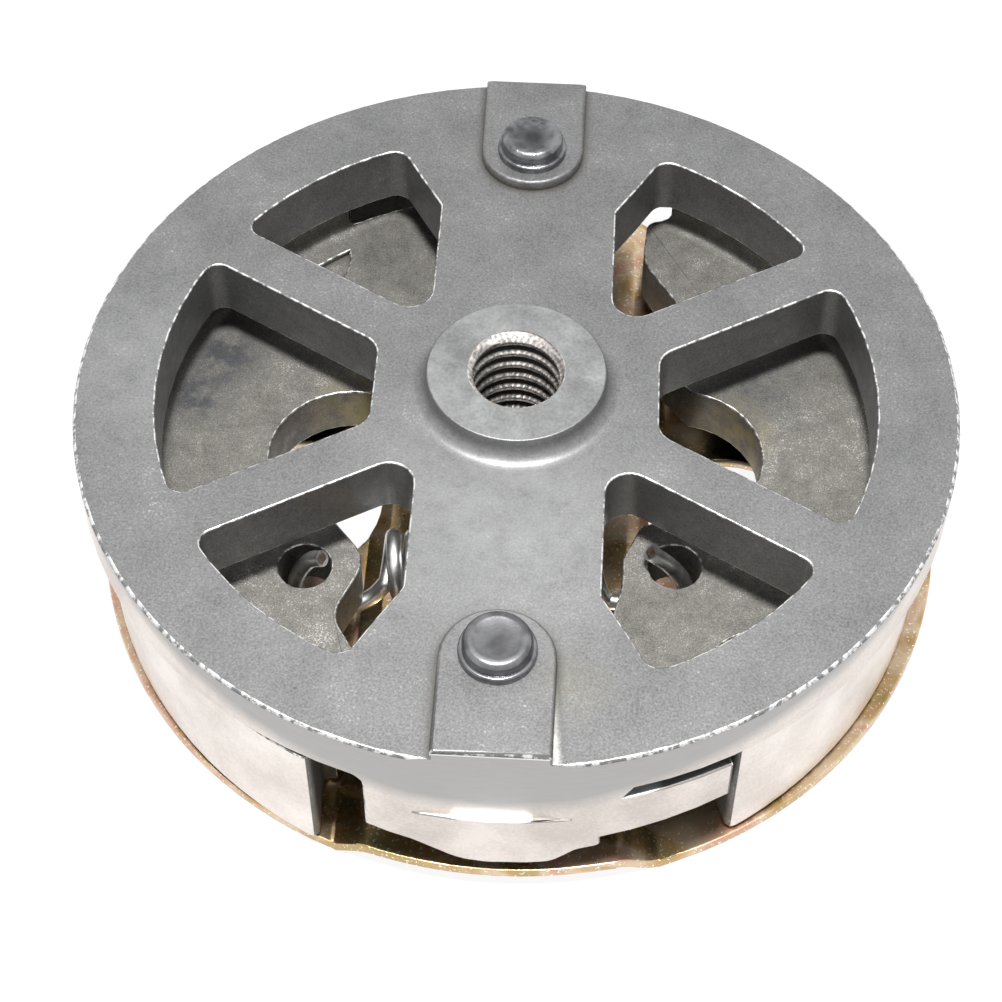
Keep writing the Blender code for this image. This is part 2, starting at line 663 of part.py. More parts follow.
def shoe_section():
    """The turned section that both shoes are cut from: wall, web and the fillets between."""
    beyond = DISC_RADIUS + CUT_MARGIN
    centre_radius = WALL_INNER_RADIUS - WALL_FILLET
    upper = []
    lower = []
    for step in range(5):
        angle = math.radians(22.5 * step)
        radius = centre_radius + WALL_FILLET * math.cos(angle)
        upper.append((radius, WEB_TOP + WALL_FILLET * (1 - math.sin(angle))))
        lower.append((radius, WEB_BOTTOM - WALL_FILLET * (1 - math.sin(angle))))
    inside = HUB_TAIL_RADIUS / 2
    section = [(inside, WEB_TOP)] + upper[::-1] + [(WALL_INNER_RADIUS, WALL_TOP)]
    section += [(beyond, WALL_TOP), (beyond, WALL_BOTTOM), (WALL_INNER_RADIUS, WALL_BOTTOM)]
    section += lower + [(inside, WEB_BOTTOM)]
    return section


def spot_recess():
    """The shallow round recess in the web by the far hole, cut off straight before the wall."""
    spot = Vector(polar(WALL_INNER_RADIUS - SPOT_SETBACK, SPOT_ANGLE))
    apart = spot.length
    half = math.acos((apart ** 2 + SPOT_EDGE_RADIUS ** 2 - SPOT_RADIUS ** 2)
                     / (2 * apart * SPOT_EDGE_RADIUS))
    heading = math.atan2(spot.y, spot.x)
    first = Vector(polar(SPOT_EDGE_RADIUS, math.degrees(heading - half))) - spot
    start = math.degrees(math.atan2(first.y, first.x))
    inward = math.degrees(heading) - 180.0
    sweep = 2 * (inward - start)
    outline = arc(SPOT_RADIUS, start + sweep, start, 12, centre=(spot.x, spot.y))
    outline += arc(SPOT_EDGE_RADIUS, math.degrees(heading - half), math.degrees(heading + half),
                   5)[1:-1]
    return sheet_solid("spot_recess", [rounded(outline)], WEB_TOP - SPOT_DEPTH,
                       WEB_TOP + CUT_MARGIN)


def spring_holes():
    near = circle(SPRING_HOLE_RADIUS, (-NEAR_HOLE_X, -NEAR_HOLE_Y), 28)
    far = circle(SPRING_HOLE_RADIUS, (-FAR_HOLE_X, FAR_HOLE_Y), 28)
    return sheet_solid("spring_holes", [near, far], WEB_BOTTOM - CUT_MARGIN, WEB_TOP + CUT_MARGIN)


def make_shoes():
    left = add_part("left_shoe", turned("left_shoe", shoe_section(), True), "shoe steel")
    outline = sheet_solid("shoe_outline", [rounded(shoe_outline())], WALL_BOTTOM - CUT_MARGIN,
                          WALL_TOP + CUT_MARGIN)
    combine(left, outline, "INTERSECT")
    combine(left, spot_recess(), "DIFFERENCE")
    combine(left, spring_holes(), "DIFFERENCE")
    right = turned_copy(left, "right_shoe", "shoe steel")
    return left, right


# Retainer plate: pressed sheet with its middle strip raised to the lugs

def make_plate():
    bend_x = STRIP_HALF_WIDTH + BEND_WIDTH
    beyond = PLATE_RADIUS + CUT_MARGIN
    upper = [(-beyond, SHEET_TOP), (-bend_x, SHEET_TOP), (-STRIP_HALF_WIDTH, STRIP_TOP)]
    upper += [(STRIP_HALF_WIDTH, STRIP_TOP), (bend_x, SHEET_TOP), (beyond, SHEET_TOP)]
    lower = [(x, z - SHEET) for x, z in reversed(upper)]
    sheet = sheet_solid("pressed_sheet", [upper + lower], 0.0, MM)
    stand_along_y(sheet, -beyond, beyond)
    plate = add_part("retainer_plate", sheet.data.copy(), "yellow zinc")
    bpy.data.objects.remove(sheet, do_unlink=True)
    outline = circle(PLATE_RADIUS, (PLATE_SHIFT_X, 0.0), 120)
    blank = sheet_solid("plate_blank", [outline], -CUT_MARGIN, STRIP_TOP + CUT_MARGIN)
    combine(plate, blank, "INTERSECT")
    rivet_hole = SHANK_RADIUS + HOLE_PLAY
    holes = [circle(PLATE_HOLE_RADIUS, (side * PLATE_HOLE_X, 0.0), 40) for side in (-1, 1)]
    holes += [circle(rivet_hole, (0.0, side * RIVET_Y), 24) for side in (-1, 1)]
    holes += [circle(PLATE_BORE_RADIUS, steps=36)]
    punched = sheet_solid("plate_holes", holes, -CUT_MARGIN, STRIP_TOP + CUT_MARGIN)
    combine(plate, punched, "DIFFERENCE")
    return plate


# Rivets: a collared head on the pad, a shank, and a tail set flat under the plate

def make_rivets():
    seat = PAD_TOP + SEAT_GAP
    head_top = seat + HEAD_HEIGHT
    tail_top = STRIP_RISE - SEAT_GAP
    rim = HEAD_RADIUS * 0.86
    profile = [(0.0, head_top - HEAD_DISH), (HEAD_RADIUS * 0.6, head_top - HEAD_DISH * 0.8)]
    profile += [(rim * 0.93, head_top - HEAD_DISH * 0.2), (rim, head_top)]
    profile += [(HEAD_RADIUS * 0.96, head_top - HEAD_DISH), (HEAD_RADIUS, head_top - HEAD_DISH * 2)]
    profile += [(HEAD_RADIUS, seat + COLLAR_HEIGHT), (COLLAR_RADIUS * 0.97, seat + COLLAR_HEIGHT)]
    profile += [(COLLAR_RADIUS, seat + COLLAR_HEIGHT * 0.7), (COLLAR_RADIUS, seat)]
    profile += [(SHANK_RADIUS, seat), (SHANK_RADIUS, tail_top), (TAIL_RADIUS, tail_top)]
    profile += [(TAIL_RADIUS, tail_top - TAIL_HEIGHT * 0.6)]
    profile += [(TAIL_RADIUS * 0.88, tail_top - TAIL_HEIGHT), (0.0, tail_top - TAIL_HEIGHT)]
    rivets = []
    for name, side in (("front_rivet", -1), ("rear_rivet", 1)):
        rivet = add_part(name, turned(name, profile, False, steps=RIVET_STEPS), "rivet steel")
        rivet.location = (0.0, side * RIVET_Y, 0.0)
        rivets.append(rivet)
    return rivets


# Springs: close coils under the wide spokes, hooked up through the shoes' webs

def smooth_route(knots, spacing):
    """Points along a smooth curve through the knots, about one spacing apart."""
    route = []
    ends = [knots[0] * 2 - knots[1], *knots, knots[-1] * 2 - knots[-2]]
    for a, b, c, d in zip(ends, ends[1:], ends[2:], ends[3:]):
        steps = max(1, round((c - b).length / spacing))
        for step in range(steps):
            t = step / steps
            curve = (b * 2 + (c - a) * t + (a * 2 - b * 5 + c * 4 - d) * t ** 2
                     + (b * 3 - a - c * 3 + d) * t ** 3) / 2
            route.append(curve)
    route.append(knots[-1])
    return route


def hook_knots(hole, coil_end, side, tip_reach, tip_rise):
    """The hook from the coil's end, under the web and up through the hole; side is -1 on the left."""
    run_z = WEB_BOTTOM - SEAT_GAP - WIRE / 2
    turn = (SPRING_HOLE_RADIUS - WIRE / 2 - SEAT_GAP) * 0.8
    x, y = hole
    entry_x = coil_end.x + side * WIRE * 0.9
    return [
        Vector((entry_x, y * 0.45 + coil_end.y * 0.55, run_z + WIRE * 0.4)),
        Vector((entry_x + side * WIRE * 1.4, y, run_z)),
        Vector((x, y, run_z)),
        Vector((x + side * turn, y, WEB_BOTTOM + WIRE * 0.25)),
        Vector((x + side * turn * 0.8, y, (WEB_BOTTOM + WEB_TOP) / 2)),
        Vector((x - side * tip_reach * 0.35, y, WEB_TOP)),
        Vector((x - side * tip_reach, y, WEB_TOP + tip_rise)),
    ]


def spring_route():
    """The front spring's wire, from its left hook through the coil to its right hook."""
    mean_radius = (COIL_DIAMETER - WIRE) / 2
    coil_z = WEB_BOTTOM + COIL_DIAMETER / 2 + COIL_LIFT
    start = Vector((-COIL_LEFT_X, -COIL_LEFT_Y, coil_z))
    end = Vector((COIL_RIGHT_X, -COIL_RIGHT_Y, coil_z))
    total = round(COIL_TURNS * COIL_POINTS_PER_TURN)
    coil = []
    for index in range(total + 1):
        share = index / total
        angle = 2 * math.pi * COIL_TURNS * share - math.pi / 2
        centre = start.lerp(end, share)
        ring = Vector((0.0, math.cos(angle) * mean_radius, math.sin(angle) * mean_radius))
        coil.append(centre + ring)
    spacing = MM / HOOK_POINTS_PER_MM * 1.6
    left_hole = (-NEAR_HOLE_X, -NEAR_HOLE_Y)
    right_hole = (FAR_HOLE_X, -FAR_HOLE_Y)
    left = hook_knots(left_hole, coil[0], -1, LEFT_TIP_REACH, LEFT_TIP_RISE)
    right = hook_knots(right_hole, coil[-1], 1, RIGHT_TIP_REACH, RIGHT_TIP_RISE)
    left_hook = smooth_route(left[::-1] + [coil[0]], spacing)[:-1]
    right_hook = smooth_route([coil[-1]] + right, spacing)[1:]
    return left_hook + coil + right_hook


def make_springs():
    curve = bpy.data.curves.new("front_spring", "CURVE")
    curve.dimensions = "3D"
    curve.bevel_depth = WIRE / 2
    curve.bevel_resolution = 2
    curve.use_fill_caps = True
    route = spring_route()
    spline = curve.splines.new("POLY")
    spline.points.add(len(route) - 1)
    for point, place in zip(spline.points, route):
        point.co = (*place, 1.0)
    drawn = bpy.data.objects.new("spring_wire", curve)
    cutters.objects.link(drawn)
    front = add_part("front_spring", mesh_of(drawn), "spring steel")
    bpy.data.objects.remove(drawn, do_unlink=True)
    rear = turned_copy(front, "rear_spring", "spring steel")
    return front, rear


make_carrier()
make_shoes()
make_plate()
make_rivets()
make_springs()

for piece in parts.objects:
    piece.data.shade_smooth()
    piece.data.set_sharp_from_angle(angle=math.radians(35.0))
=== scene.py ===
import math

import bmesh
import bpy
from mathutils import Matrix, Vector


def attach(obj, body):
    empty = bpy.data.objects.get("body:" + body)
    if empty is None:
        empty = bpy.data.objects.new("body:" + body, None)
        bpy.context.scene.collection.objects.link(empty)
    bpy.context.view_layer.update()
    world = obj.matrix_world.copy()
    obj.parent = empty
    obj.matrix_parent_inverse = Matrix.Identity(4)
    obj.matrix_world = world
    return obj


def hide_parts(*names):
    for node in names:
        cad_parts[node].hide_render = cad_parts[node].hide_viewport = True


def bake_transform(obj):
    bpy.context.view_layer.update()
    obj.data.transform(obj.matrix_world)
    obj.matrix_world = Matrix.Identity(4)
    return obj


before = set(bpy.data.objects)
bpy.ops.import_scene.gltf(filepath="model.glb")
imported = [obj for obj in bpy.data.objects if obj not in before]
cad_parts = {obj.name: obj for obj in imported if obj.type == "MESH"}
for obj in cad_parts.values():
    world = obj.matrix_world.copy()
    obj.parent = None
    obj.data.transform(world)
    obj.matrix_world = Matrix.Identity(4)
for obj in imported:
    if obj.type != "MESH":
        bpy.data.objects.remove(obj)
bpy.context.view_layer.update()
MM = 0.001


# The clutch lies on a white table. It is seen from in front and well above it, through a long
# lens, turned a little to the right so that the two rivets don't stand quite in line.

DISC_TOP = 20.2 * MM
CAMERA_LENS = 83.66
CAMERA_SENSOR = 36.0
CAMERA_DISTANCE = 212.51 * MM
CAMERA_RIGHT = -1.362 * MM
CAMERA_RAISE = -10.375 * MM
CAMERA_ELEVATION = 52.633
CAMERA_AZIMUTH = 3.109
CAMERA_ROLL = 0.17

camera_data = bpy.data.cameras.new("photo_camera")
camera_data.lens = CAMERA_LENS
camera_data.sensor_width = CAMERA_SENSOR
camera_data.clip_start = 10 * MM
camera_data.clip_end = 20.0
camera = bpy.data.objects.new("photo_camera", camera_data)
bpy.context.scene.collection.objects.link(camera)
camera_turn = Matrix.Rotation(math.radians(CAMERA_AZIMUTH), 4, "Z")
camera_tilt = Matrix.Rotation(math.radians(90.0 - CAMERA_ELEVATION), 4, "X")
camera_place = Matrix.Translation((CAMERA_RIGHT, CAMERA_RAISE, CAMERA_DISTANCE))
camera_roll = Matrix.Rotation(math.radians(CAMERA_ROLL), 4, "Z")
camera.matrix_world = (Matrix.Translation((0.0, 0.0, DISC_TOP)) @ camera_turn @ camera_tilt
                       @ camera_place @ camera_roll)
bpy.context.scene.camera = camera


# The table and the lamp: a white table that keeps a faint shadow, one lamp high over the front of
# the clutch that leaves its inside in crisp shade, and a pale room all round.

TABLE_SIZE = 6.0
TABLE_DROP = 0.02 * MM
TABLE_COLOR = (0.80, 0.80, 0.80, 1.0)
TABLE_WHITE = 1.06
TABLE_WHITE_SHARE = 0.86
ROOM_COLOR = (0.98, 0.99, 1.0, 1.0)
ROOM_LIGHT = 0.22
LAMP_PLACE = (-5 * MM, -75 * MM, 500 * MM)
LAMP_SIZE = 100 * MM
LAMP_POWER = 4.6


def seen_or_reflected(nodes, links):
    """1 for what the camera sees straight, or in metal, and 0 for light that falls on things."""
    path = nodes.new("ShaderNodeLightPath")
    seen = nodes.new("ShaderNodeMath")
    seen.operation = "MAXIMUM"
    links.new(path.outputs["Is Camera Ray"], seen.inputs[0])
    links.new(path.outputs["Is Glossy Ray"], seen.inputs[1])
    through = nodes.new("ShaderNodeMath")
    through.operation = "MAXIMUM"
    links.new(seen.outputs[0], through.inputs[0])
    links.new(path.outputs["Is Transmission Ray"], through.inputs[1])
    return through.outputs[0]


def make_room():
    world = bpy.data.worlds.new("pale_room")
    bpy.context.scene.world = world
    world.use_nodes = True
    nodes, links = world.node_tree.nodes, world.node_tree.links
    nodes.clear()
    light = nodes.new("ShaderNodeBackground")
    light.inputs["Color"].default_value = ROOM_COLOR
    light.inputs["Strength"].default_value = ROOM_LIGHT
    shown = nodes.new("ShaderNodeBackground")
    shown.inputs["Color"].default_value = ROOM_COLOR
    shown.inputs["Strength"].default_value = 1.0
    mix = nodes.new("ShaderNodeMixShader")
    output = nodes.new("ShaderNodeOutputWorld")
    links.new(seen_or_reflected(nodes, links), mix.inputs["Fac"])
    links.new(light.outputs[0], mix.inputs[1])
    links.new(shown.outputs[0], mix.inputs[2])
    links.new(mix.outputs[0], output.inputs["Surface"])


def make_table():
    mesh = bpy.data.meshes.new("white_table")
    work = bmesh.new()
    bmesh.ops.create_grid(work, x_segments=1, y_segments=1, size=TABLE_SIZE / 2)
    bmesh.ops.translate(work, verts=work.verts, vec=(0.0, 0.0, -TABLE_DROP))
    work.to_mesh(mesh)
    work.free()
    table = bpy.data.objects.new("white_table", mesh)
    bpy.context.scene.collection.objects.link(table)
    paint = bpy.data.materials.new("white_table")
    paint.use_nodes = True
    nodes, links = paint.node_tree.nodes, paint.node_tree.links
    nodes.clear()
    diffuse = nodes.new("ShaderNodeBsdfDiffuse")
    diffuse.inputs["Color"].default_value = TABLE_COLOR
    white = nodes.new("ShaderNodeEmission")
    white.inputs["Strength"].default_value = TABLE_WHITE
    share = nodes.new("ShaderNodeMath")
    share.operation = "MULTIPLY"
    share.inputs[1].default_value = TABLE_WHITE_SHARE
    links.new(seen_or_reflected(nodes, links), share.inputs[0])
    mix = nodes.new("ShaderNodeMixShader")
    output = nodes.new("ShaderNodeOutputMaterial")
    links.new(share.outputs[0], mix.inputs["Fac"])
    links.new(diffuse.outputs[0], mix.inputs[1])
    links.new(white.outputs[0], mix.inputs[2])
    links.new(mix.outputs[0], output.inputs["Surface"])
    table.data.materials.append(paint)


def make_lamp():
    """A square lamp that looks at the middle of the clutch."""
    lamp_data = bpy.data.lights.new("high_lamp", "AREA")
    lamp_data.size = LAMP_SIZE
    lamp_data.energy = LAMP_POWER
    lamp = bpy.data.objects.new("high_lamp", lamp_data)
    bpy.context.scene.collection.objects.link(lamp)
    lamp.location = LAMP_PLACE
    away = Vector(LAMP_PLACE) - Vector((0.0, 0.0, DISC_TOP))
    lamp.rotation_mode = "QUATERNION"
    lamp.rotation_quaternion = away.to_track_quat("Z", "Y")


make_room()
make_table()
make_lamp()
bpy.context.scene.view_settings.view_transform = "Standard"


# The carrier is one piece of sintered steel: disc, spokes, hub, pads and lugs. Its outside is
# turned, its edges are worn bright, and its bore gets the real thread. Each kind of face has a
# material slot of its own.

SKIN_SLOT = 0
WORN_SLOT = 1
TURNED_SLOT = 2
FACED_SLOT = 3
THREAD_SLOT = 4
LEDGE_SLOT = 5
SINTER_METALLIC = 0.7
BARE_METALLIC = 0.85
SINTER_ROUGH = 0.46
ROUGH_PLAY = 0.05
CLOUD_SIZE = 7.0 * MM
PATCH_SIZE = 1.6 * MM
PATCH_SHARE = 0.8
PATCH_MIDDLE = 0.47
SINTER_PIT = (0.045, 0.045, 0.043)
SINTER_DARK = (0.13, 0.13, 0.129)
SINTER_LIGHT = (0.225, 0.225, 0.223)
SINTER_GLINT = (0.62, 0.62, 0.61)
CREVICE_PAINTED_SHADE = (0.085, 0.078, 0.065)
WORN_STEEL = (0.78, 0.78, 0.77)
TURNED_DARK = (0.62, 0.56, 0.52)
TURNED_LIGHT = (0.84, 0.77, 0.72)
TURNED_GREY = (0.43, 0.42, 0.41)
FACED_DARK = (0.20, 0.20, 0.20)
FACED_LIGHT = (0.36, 0.36, 0.36)
# A painted highlight on the lugs' up-facing ledges and on the pads' upper edges.
LEDGE_PAINTED_HIGHLIGHT = (0.93, 0.93, 0.92)
LEDGE_END = (0.36, 0.34, 0.32)
GROOVE_PAINTED_SHADE = (0.012, 0.012, 0.011)
# Two spots paint pools of light on the front and the left of the disc; the third is a grease
# stain.
FRONT_PAINTED_LIGHT = (0.40, 0.40, 0.40)
LEFT_PAINTED_LIGHT = (0.42, 0.42, 0.42)
OLD_GREASE = (0.24, 0.21, 0.13)
PAINTED_LIGHT_AND_GREASE_SPOTS = (((0.0, -14.0 * MM, DISC_TOP), 18 * MM, 0.6, FRONT_PAINTED_LIGHT),
                ((-33.0 * MM, 2.0 * MM, DISC_TOP), 14 * MM, 0.3, LEFT_PAINTED_LIGHT),
                ((6.6 * MM, -32.0 * MM, DISC_TOP), 4 * MM, 0.35, OLD_GREASE))
SPOT_CORE = 0.25
TURNED_RADIUS = 39.6 * MM
TURNED_CLOUD = 6.0 * MM
TURNED_SPECK = 0.3 * MM
TURNED_LINE = 0.25 * MM
TURNED_LINE_DEPTH = 0.004 * MM
TURNED_STRETCH = 0.12
LUG_SKIN_START = 11.2 * MM
LUG_SKIN_FULL = 13.4 * MM
LUG_SKIN_SLOPE = 0.22
LEDGE_RADIUS = 38.5 * MM
LEDGE_TOP = 14.0 * MM
LEDGE_SHINE_START = 10.7 * MM
LEDGE_SHINE_FULL = 10.85 * MM
PAD_EDGE = 20.8 * MM
PAD_EDGE_FADE = 0.1 * MM
MERGE = 0.001 * MM
DISSOLVE_ANGLE = math.radians(0.6)
EDGE_WEAR = 0.16 * MM
EDGE_PATCH = 0.8 * MM
EDGE_DENT = 0.25 * MM
EDGE_DENT_DEPTH = 0.02 * MM
EDGE_ROUGH = 0.36
EDGE_ANGLE = math.radians(50.0)
SMOOTH_ANGLE = math.radians(62.0)
FLAT_ANGLE = math.radians(1.2)
CREVICE_SHADE_REACH = 1.1 * MM
CREVICE_SAMPLES = 8
CREVICE_DEEP = 0.45
CREVICE_OPEN = 0.92
# How far a face's normal leans for it to count as facing outward, upright or level.
FACES_OUTWARD = 0.7
UPRIGHT = 0.3
LEVEL = 0.95
THREAD_PITCH = 1.5875 * MM
THREAD_MAJOR = 4.76 * MM
THREAD_MINOR = 3.97 * MM
THREAD_ROOT = 0.2 * MM
THREAD_FLANK = math.radians(30.0)
THREAD_STEPS = 48
THREAD_OVERLAP = 0.25 * MM
THREAD_SPECK = 0.35 * MM
THREAD_ROUGH = 0.4
BORE_RADIUS = THREAD_MAJOR + 0.3 * MM
GROOVE_SHADE_RADIUS_START = 4.05 * MM
GROOVE_SHADE_RADIUS_FULL = 4.28 * MM
GROOVE_SHADE_TOP_FULL = 21.7 * MM
GROOVE_SHADE_TOP_END = 22.0 * MM
HUB_TOP = 22.6 * MM
HUB_BOTTOM = 3.1 * MM
HUB_FACE_DEPTH = 0.02 * MM


def own_place(nodes):
    """The piece's own coordinates, from one node for each material."""
    place = nodes.get("place") or nodes.new("ShaderNodeTexCoord")
    place.name = "place"
    return place.outputs["Object"]


def noise(nodes, links, size, detail=3.0, roughness=0.5, distortion=0.0):
    """A noise on the piece's own coordinates, with features of one size in metres."""
    texture = nodes.new("ShaderNodeTexNoise")
    texture.inputs["Scale"].default_value = 1.0 / size
    texture.inputs["Detail"].default_value = detail
    texture.inputs["Roughness"].default_value = roughness
    texture.inputs["Distortion"].default_value = distortion
    links.new(own_place(nodes), texture.inputs["Vector"])
    return texture.outputs["Fac"]


def ramp(nodes, links, value, stops):
    """Colours along a value: stops are (position, colour)."""
    node = nodes.new("ShaderNodeValToRGB")
    elements = node.color_ramp.elements
    while len(elements) < len(stops):
        elements.new(0.5)
    for element, (position, color) in zip(elements, stops):
        element.position = position
        element.color = (*color, 1.0)
    links.new(value, node.inputs["Fac"])
    return node.outputs["Color"]


def mixed(nodes, links, share, first, second):
    """One colour over another by a share; each may be a socket or a plain colour."""
    node = nodes.new("ShaderNodeMix")
    node.data_type = "RGBA"
    links.new(share, node.inputs["Factor"])
    for socket, value in ((node.inputs["A"], first), (node.inputs["B"], second)):
        if isinstance(value, bpy.types.NodeSocket):
            links.new(value, socket)
        else:
            socket.default_value = (*value, 1.0)
    return node.outputs["Result"]


def between(nodes, links, value, low, high):
    """A value carried to another range and held at its ends: low and high are (in, out)."""
    node = nodes.new("ShaderNodeMapRange")
    links.new(value, node.inputs["Value"])
    node.inputs["From Min"].default_value = low[0]
    node.inputs["From Max"].default_value = high[0]
    node.inputs["To Min"].default_value = low[1]
    node.inputs["To Max"].default_value = high[1]
    return node.outputs["Result"]


def bump(nodes, links, shader, height, depth):
    node = nodes.new("ShaderNodeBump")
    node.inputs["Strength"].default_value = 1.0
    node.inputs["Distance"].default_value = depth
    links.new(height, node.inputs["Height"])
    links.new(node.outputs["Normal"], shader.inputs["Normal"])


def new_metal(name, metallic):
    metal = bpy.data.materials.new(name)
    metal.use_nodes = True
    shader = metal.node_tree.nodes["Principled BSDF"]
    shader.inputs["Metallic"].default_value = metallic
    return metal, metal.node_tree.nodes, metal.node_tree.links, shader


def weighed(nodes, links, parts):
    """Noises added by weight about one half: parts are (value, weight)."""
    total = None
    offset = 0.5 - sum(weight for _, weight in parts) / 2
    for value, weight in parts:
        node = nodes.new("ShaderNodeMath")
        node.operation = "MULTIPLY_ADD"
        links.new(value, node.inputs[0])
        node.inputs[1].default_value = weight
        node.inputs[2].default_value = offset
        if total is not None:
            links.new(total, node.inputs[2])
        total = node.outputs[0]
    return total


def crevices(nodes, links, reach):
    """1 deep in an inner corner of the piece, and 0 where it lies open."""
    node = nodes.new("ShaderNodeAmbientOcclusion")
    node.only_local = True
    node.samples = CREVICE_SAMPLES
    node.inputs["Distance"].default_value = reach
    return between(nodes, links, node.outputs["AO"], (CREVICE_DEEP, 1.0), (CREVICE_OPEN, 0.0))


def distance(nodes, links, place, spot=(0.0, 0.0, 0.0)):
    """How far a place is from a spot on the piece."""
    node = nodes.new("ShaderNodeVectorMath")
    node.operation = "DISTANCE"
    node.inputs[1].default_value = spot
    links.new(place, node.inputs[0])
    return node.outputs["Value"]


def near(nodes, links, spot, reach):
    """1 at a spot on the piece, and 0 from a reach away."""
    away = distance(nodes, links, own_place(nodes), spot)
    return between(nodes, links, away, (reach * SPOT_CORE, 1.0), (reach, 0.0))


def aside_and_height(nodes, links):
    """How far a point lies to the left or right of the middle, and its height."""
    split = nodes.new("ShaderNodeSeparateXYZ")
    links.new(own_place(nodes), split.inputs["Vector"])
    aside = nodes.new("ShaderNodeMath")
    aside.operation = "ABSOLUTE"
    links.new(split.outputs["X"], aside.inputs[0])
    return aside.outputs[0], split.outputs["Z"]


def stretched(nodes, links, scale):
    """The piece's own coordinates, scaled along each axis."""
    node = nodes.new("ShaderNodeMapping")
    node.inputs["Scale"].default_value = scale
    links.new(own_place(nodes), node.inputs["Vector"])
    return node.outputs["Vector"]


def scaled(nodes, links, value, factor):
    """A value times a plain number or another value."""
    node = nodes.new("ShaderNodeMath")
    node.operation = "MULTIPLY"
    links.new(value, node.inputs[0])
    if isinstance(factor, bpy.types.NodeSocket):
        links.new(factor, node.inputs[1])
    else:
        node.inputs[1].default_value = factor
    return node.outputs[0]


def sintered_steel(name, tones, rough, cloud=0.18, grit=0.35, grain=0.22 * MM, depth=0.008 * MM,
                   spots=(), ragged=0.1):
    """Sintered powder: tones are its pits, dark and light grains and glints.

    Each of the spots is (place, reach, share, shade), and ragged is how soft their edges are.
    """
    metal, nodes, links, shader = new_metal(name, SINTER_METALLIC)
    clouds = noise(nodes, links, CLOUD_SIZE, detail=5.0, roughness=0.6)
    patches = noise(nodes, links, PATCH_SIZE, detail=3.0, roughness=0.6)
    grains = noise(nodes, links, grain, detail=2.0, roughness=0.7)
    tone = weighed(nodes, links, [(clouds, cloud), (patches, cloud * PATCH_SHARE),
                                  (grains, grit)])
    pit, dark, light, glint = tones
    color = ramp(nodes, links, tone, [(0.34, pit), (0.43, dark), (0.57, light), (0.68, glint)])
    edges = between(nodes, links, patches, (PATCH_MIDDLE - ragged, 0.0),
                    (PATCH_MIDDLE + ragged, 1.0))
    # The spots paint stains over the grain, and also painted light and painted reflections.
    for spot, reach, share, shade in spots:
        stain_and_light = scaled(nodes, links, near(nodes, links, spot, reach), share)
        color = mixed(nodes, links, scaled(nodes, links, stain_and_light, edges), color, shade)
    # Inner corners are painted darker, as painted shade.
    color = mixed(nodes, links, crevices(nodes, links, CREVICE_SHADE_REACH), color, CREVICE_PAINTED_SHADE)
    links.new(color, shader.inputs["Base Color"])
    shine = between(nodes, links, patches, (0.3, rough + ROUGH_PLAY), (0.7, rough - ROUGH_PLAY))
    links.new(shine, shader.inputs["Roughness"])
    bump(nodes, links, shader, grains, depth)
    return metal


def worn_edge(name, under, shine):
    """Metal rubbed bright along an edge, with the darker skin left in places."""
    metal, nodes, links, shader = new_metal(name, BARE_METALLIC)
    rub = noise(nodes, links, EDGE_PATCH, detail=4.0, roughness=0.65)
    share = between(nodes, links, rub, (0.44, 0.0), (0.55, 1.0))
    color = mixed(nodes, links, share, under, shine)
    links.new(color, shader.inputs["Base Color"])
    shader.inputs["Roughness"].default_value = EDGE_ROUGH
    bump(nodes, links, shader, noise(nodes, links, EDGE_DENT, detail=2.0), EDGE_DENT_DEPTH)
    return metal


def turned_steel(name, dark, light, fade=None):
    """Turned steel with fine lines and cloudy tones.

    A fade is (low, high, shade): the shade takes over between the two heights, which rise to
    the sides. A pad's upper edge then gets a painted highlight as well.
    """
    metal, nodes, links, shader = new_metal(name, BARE_METALLIC)
    cloud = noise(nodes, links, TURNED_CLOUD, detail=4.0)
    specks = noise(nodes, links, TURNED_SPECK, detail=2.0)
    tone = weighed(nodes, links, [(cloud, 0.8), (specks, 0.35)])
    color = ramp(nodes, links, tone, [(0.35, dark), (0.65, light)])
    if fade:
        aside, height = aside_and_height(nodes, links)
        slanted = nodes.new("ShaderNodeMath")
        slanted.operation = "MULTIPLY_ADD"
        slanted.inputs[1].default_value = -LUG_SKIN_SLOPE
        links.new(aside, slanted.inputs[0])
        links.new(height, slanted.inputs[2])
        low, high, shade = fade
        share = between(nodes, links, slanted.outputs[0], (low, 0.0), (high, 1.0))
        color = mixed(nodes, links, share, color, shade)
        pad_edge_highlight = between(nodes, links, height, (PAD_EDGE, 0.0), (PAD_EDGE + PAD_EDGE_FADE, 1.0))
        color = mixed(nodes, links, pad_edge_highlight, color, LEDGE_PAINTED_HIGHLIGHT)
    links.new(color, shader.inputs["Base Color"])
    lines = nodes.new("ShaderNodeTexNoise")
    lines.inputs["Scale"].default_value = 1.0 / TURNED_LINE
    lines.inputs["Detail"].default_value = 2.0
    along = stretched(nodes, links, (TURNED_STRETCH, TURNED_STRETCH, 1.0))
    links.new(along, lines.inputs["Vector"])
    shine = between(nodes, links, lines.outputs["Fac"], (0.3, 0.32), (0.7, 0.46))
    links.new(shine, shader.inputs["Roughness"])
    bump(nodes, links, shader, lines.outputs["Fac"], TURNED_LINE_DEPTH)
    return metal


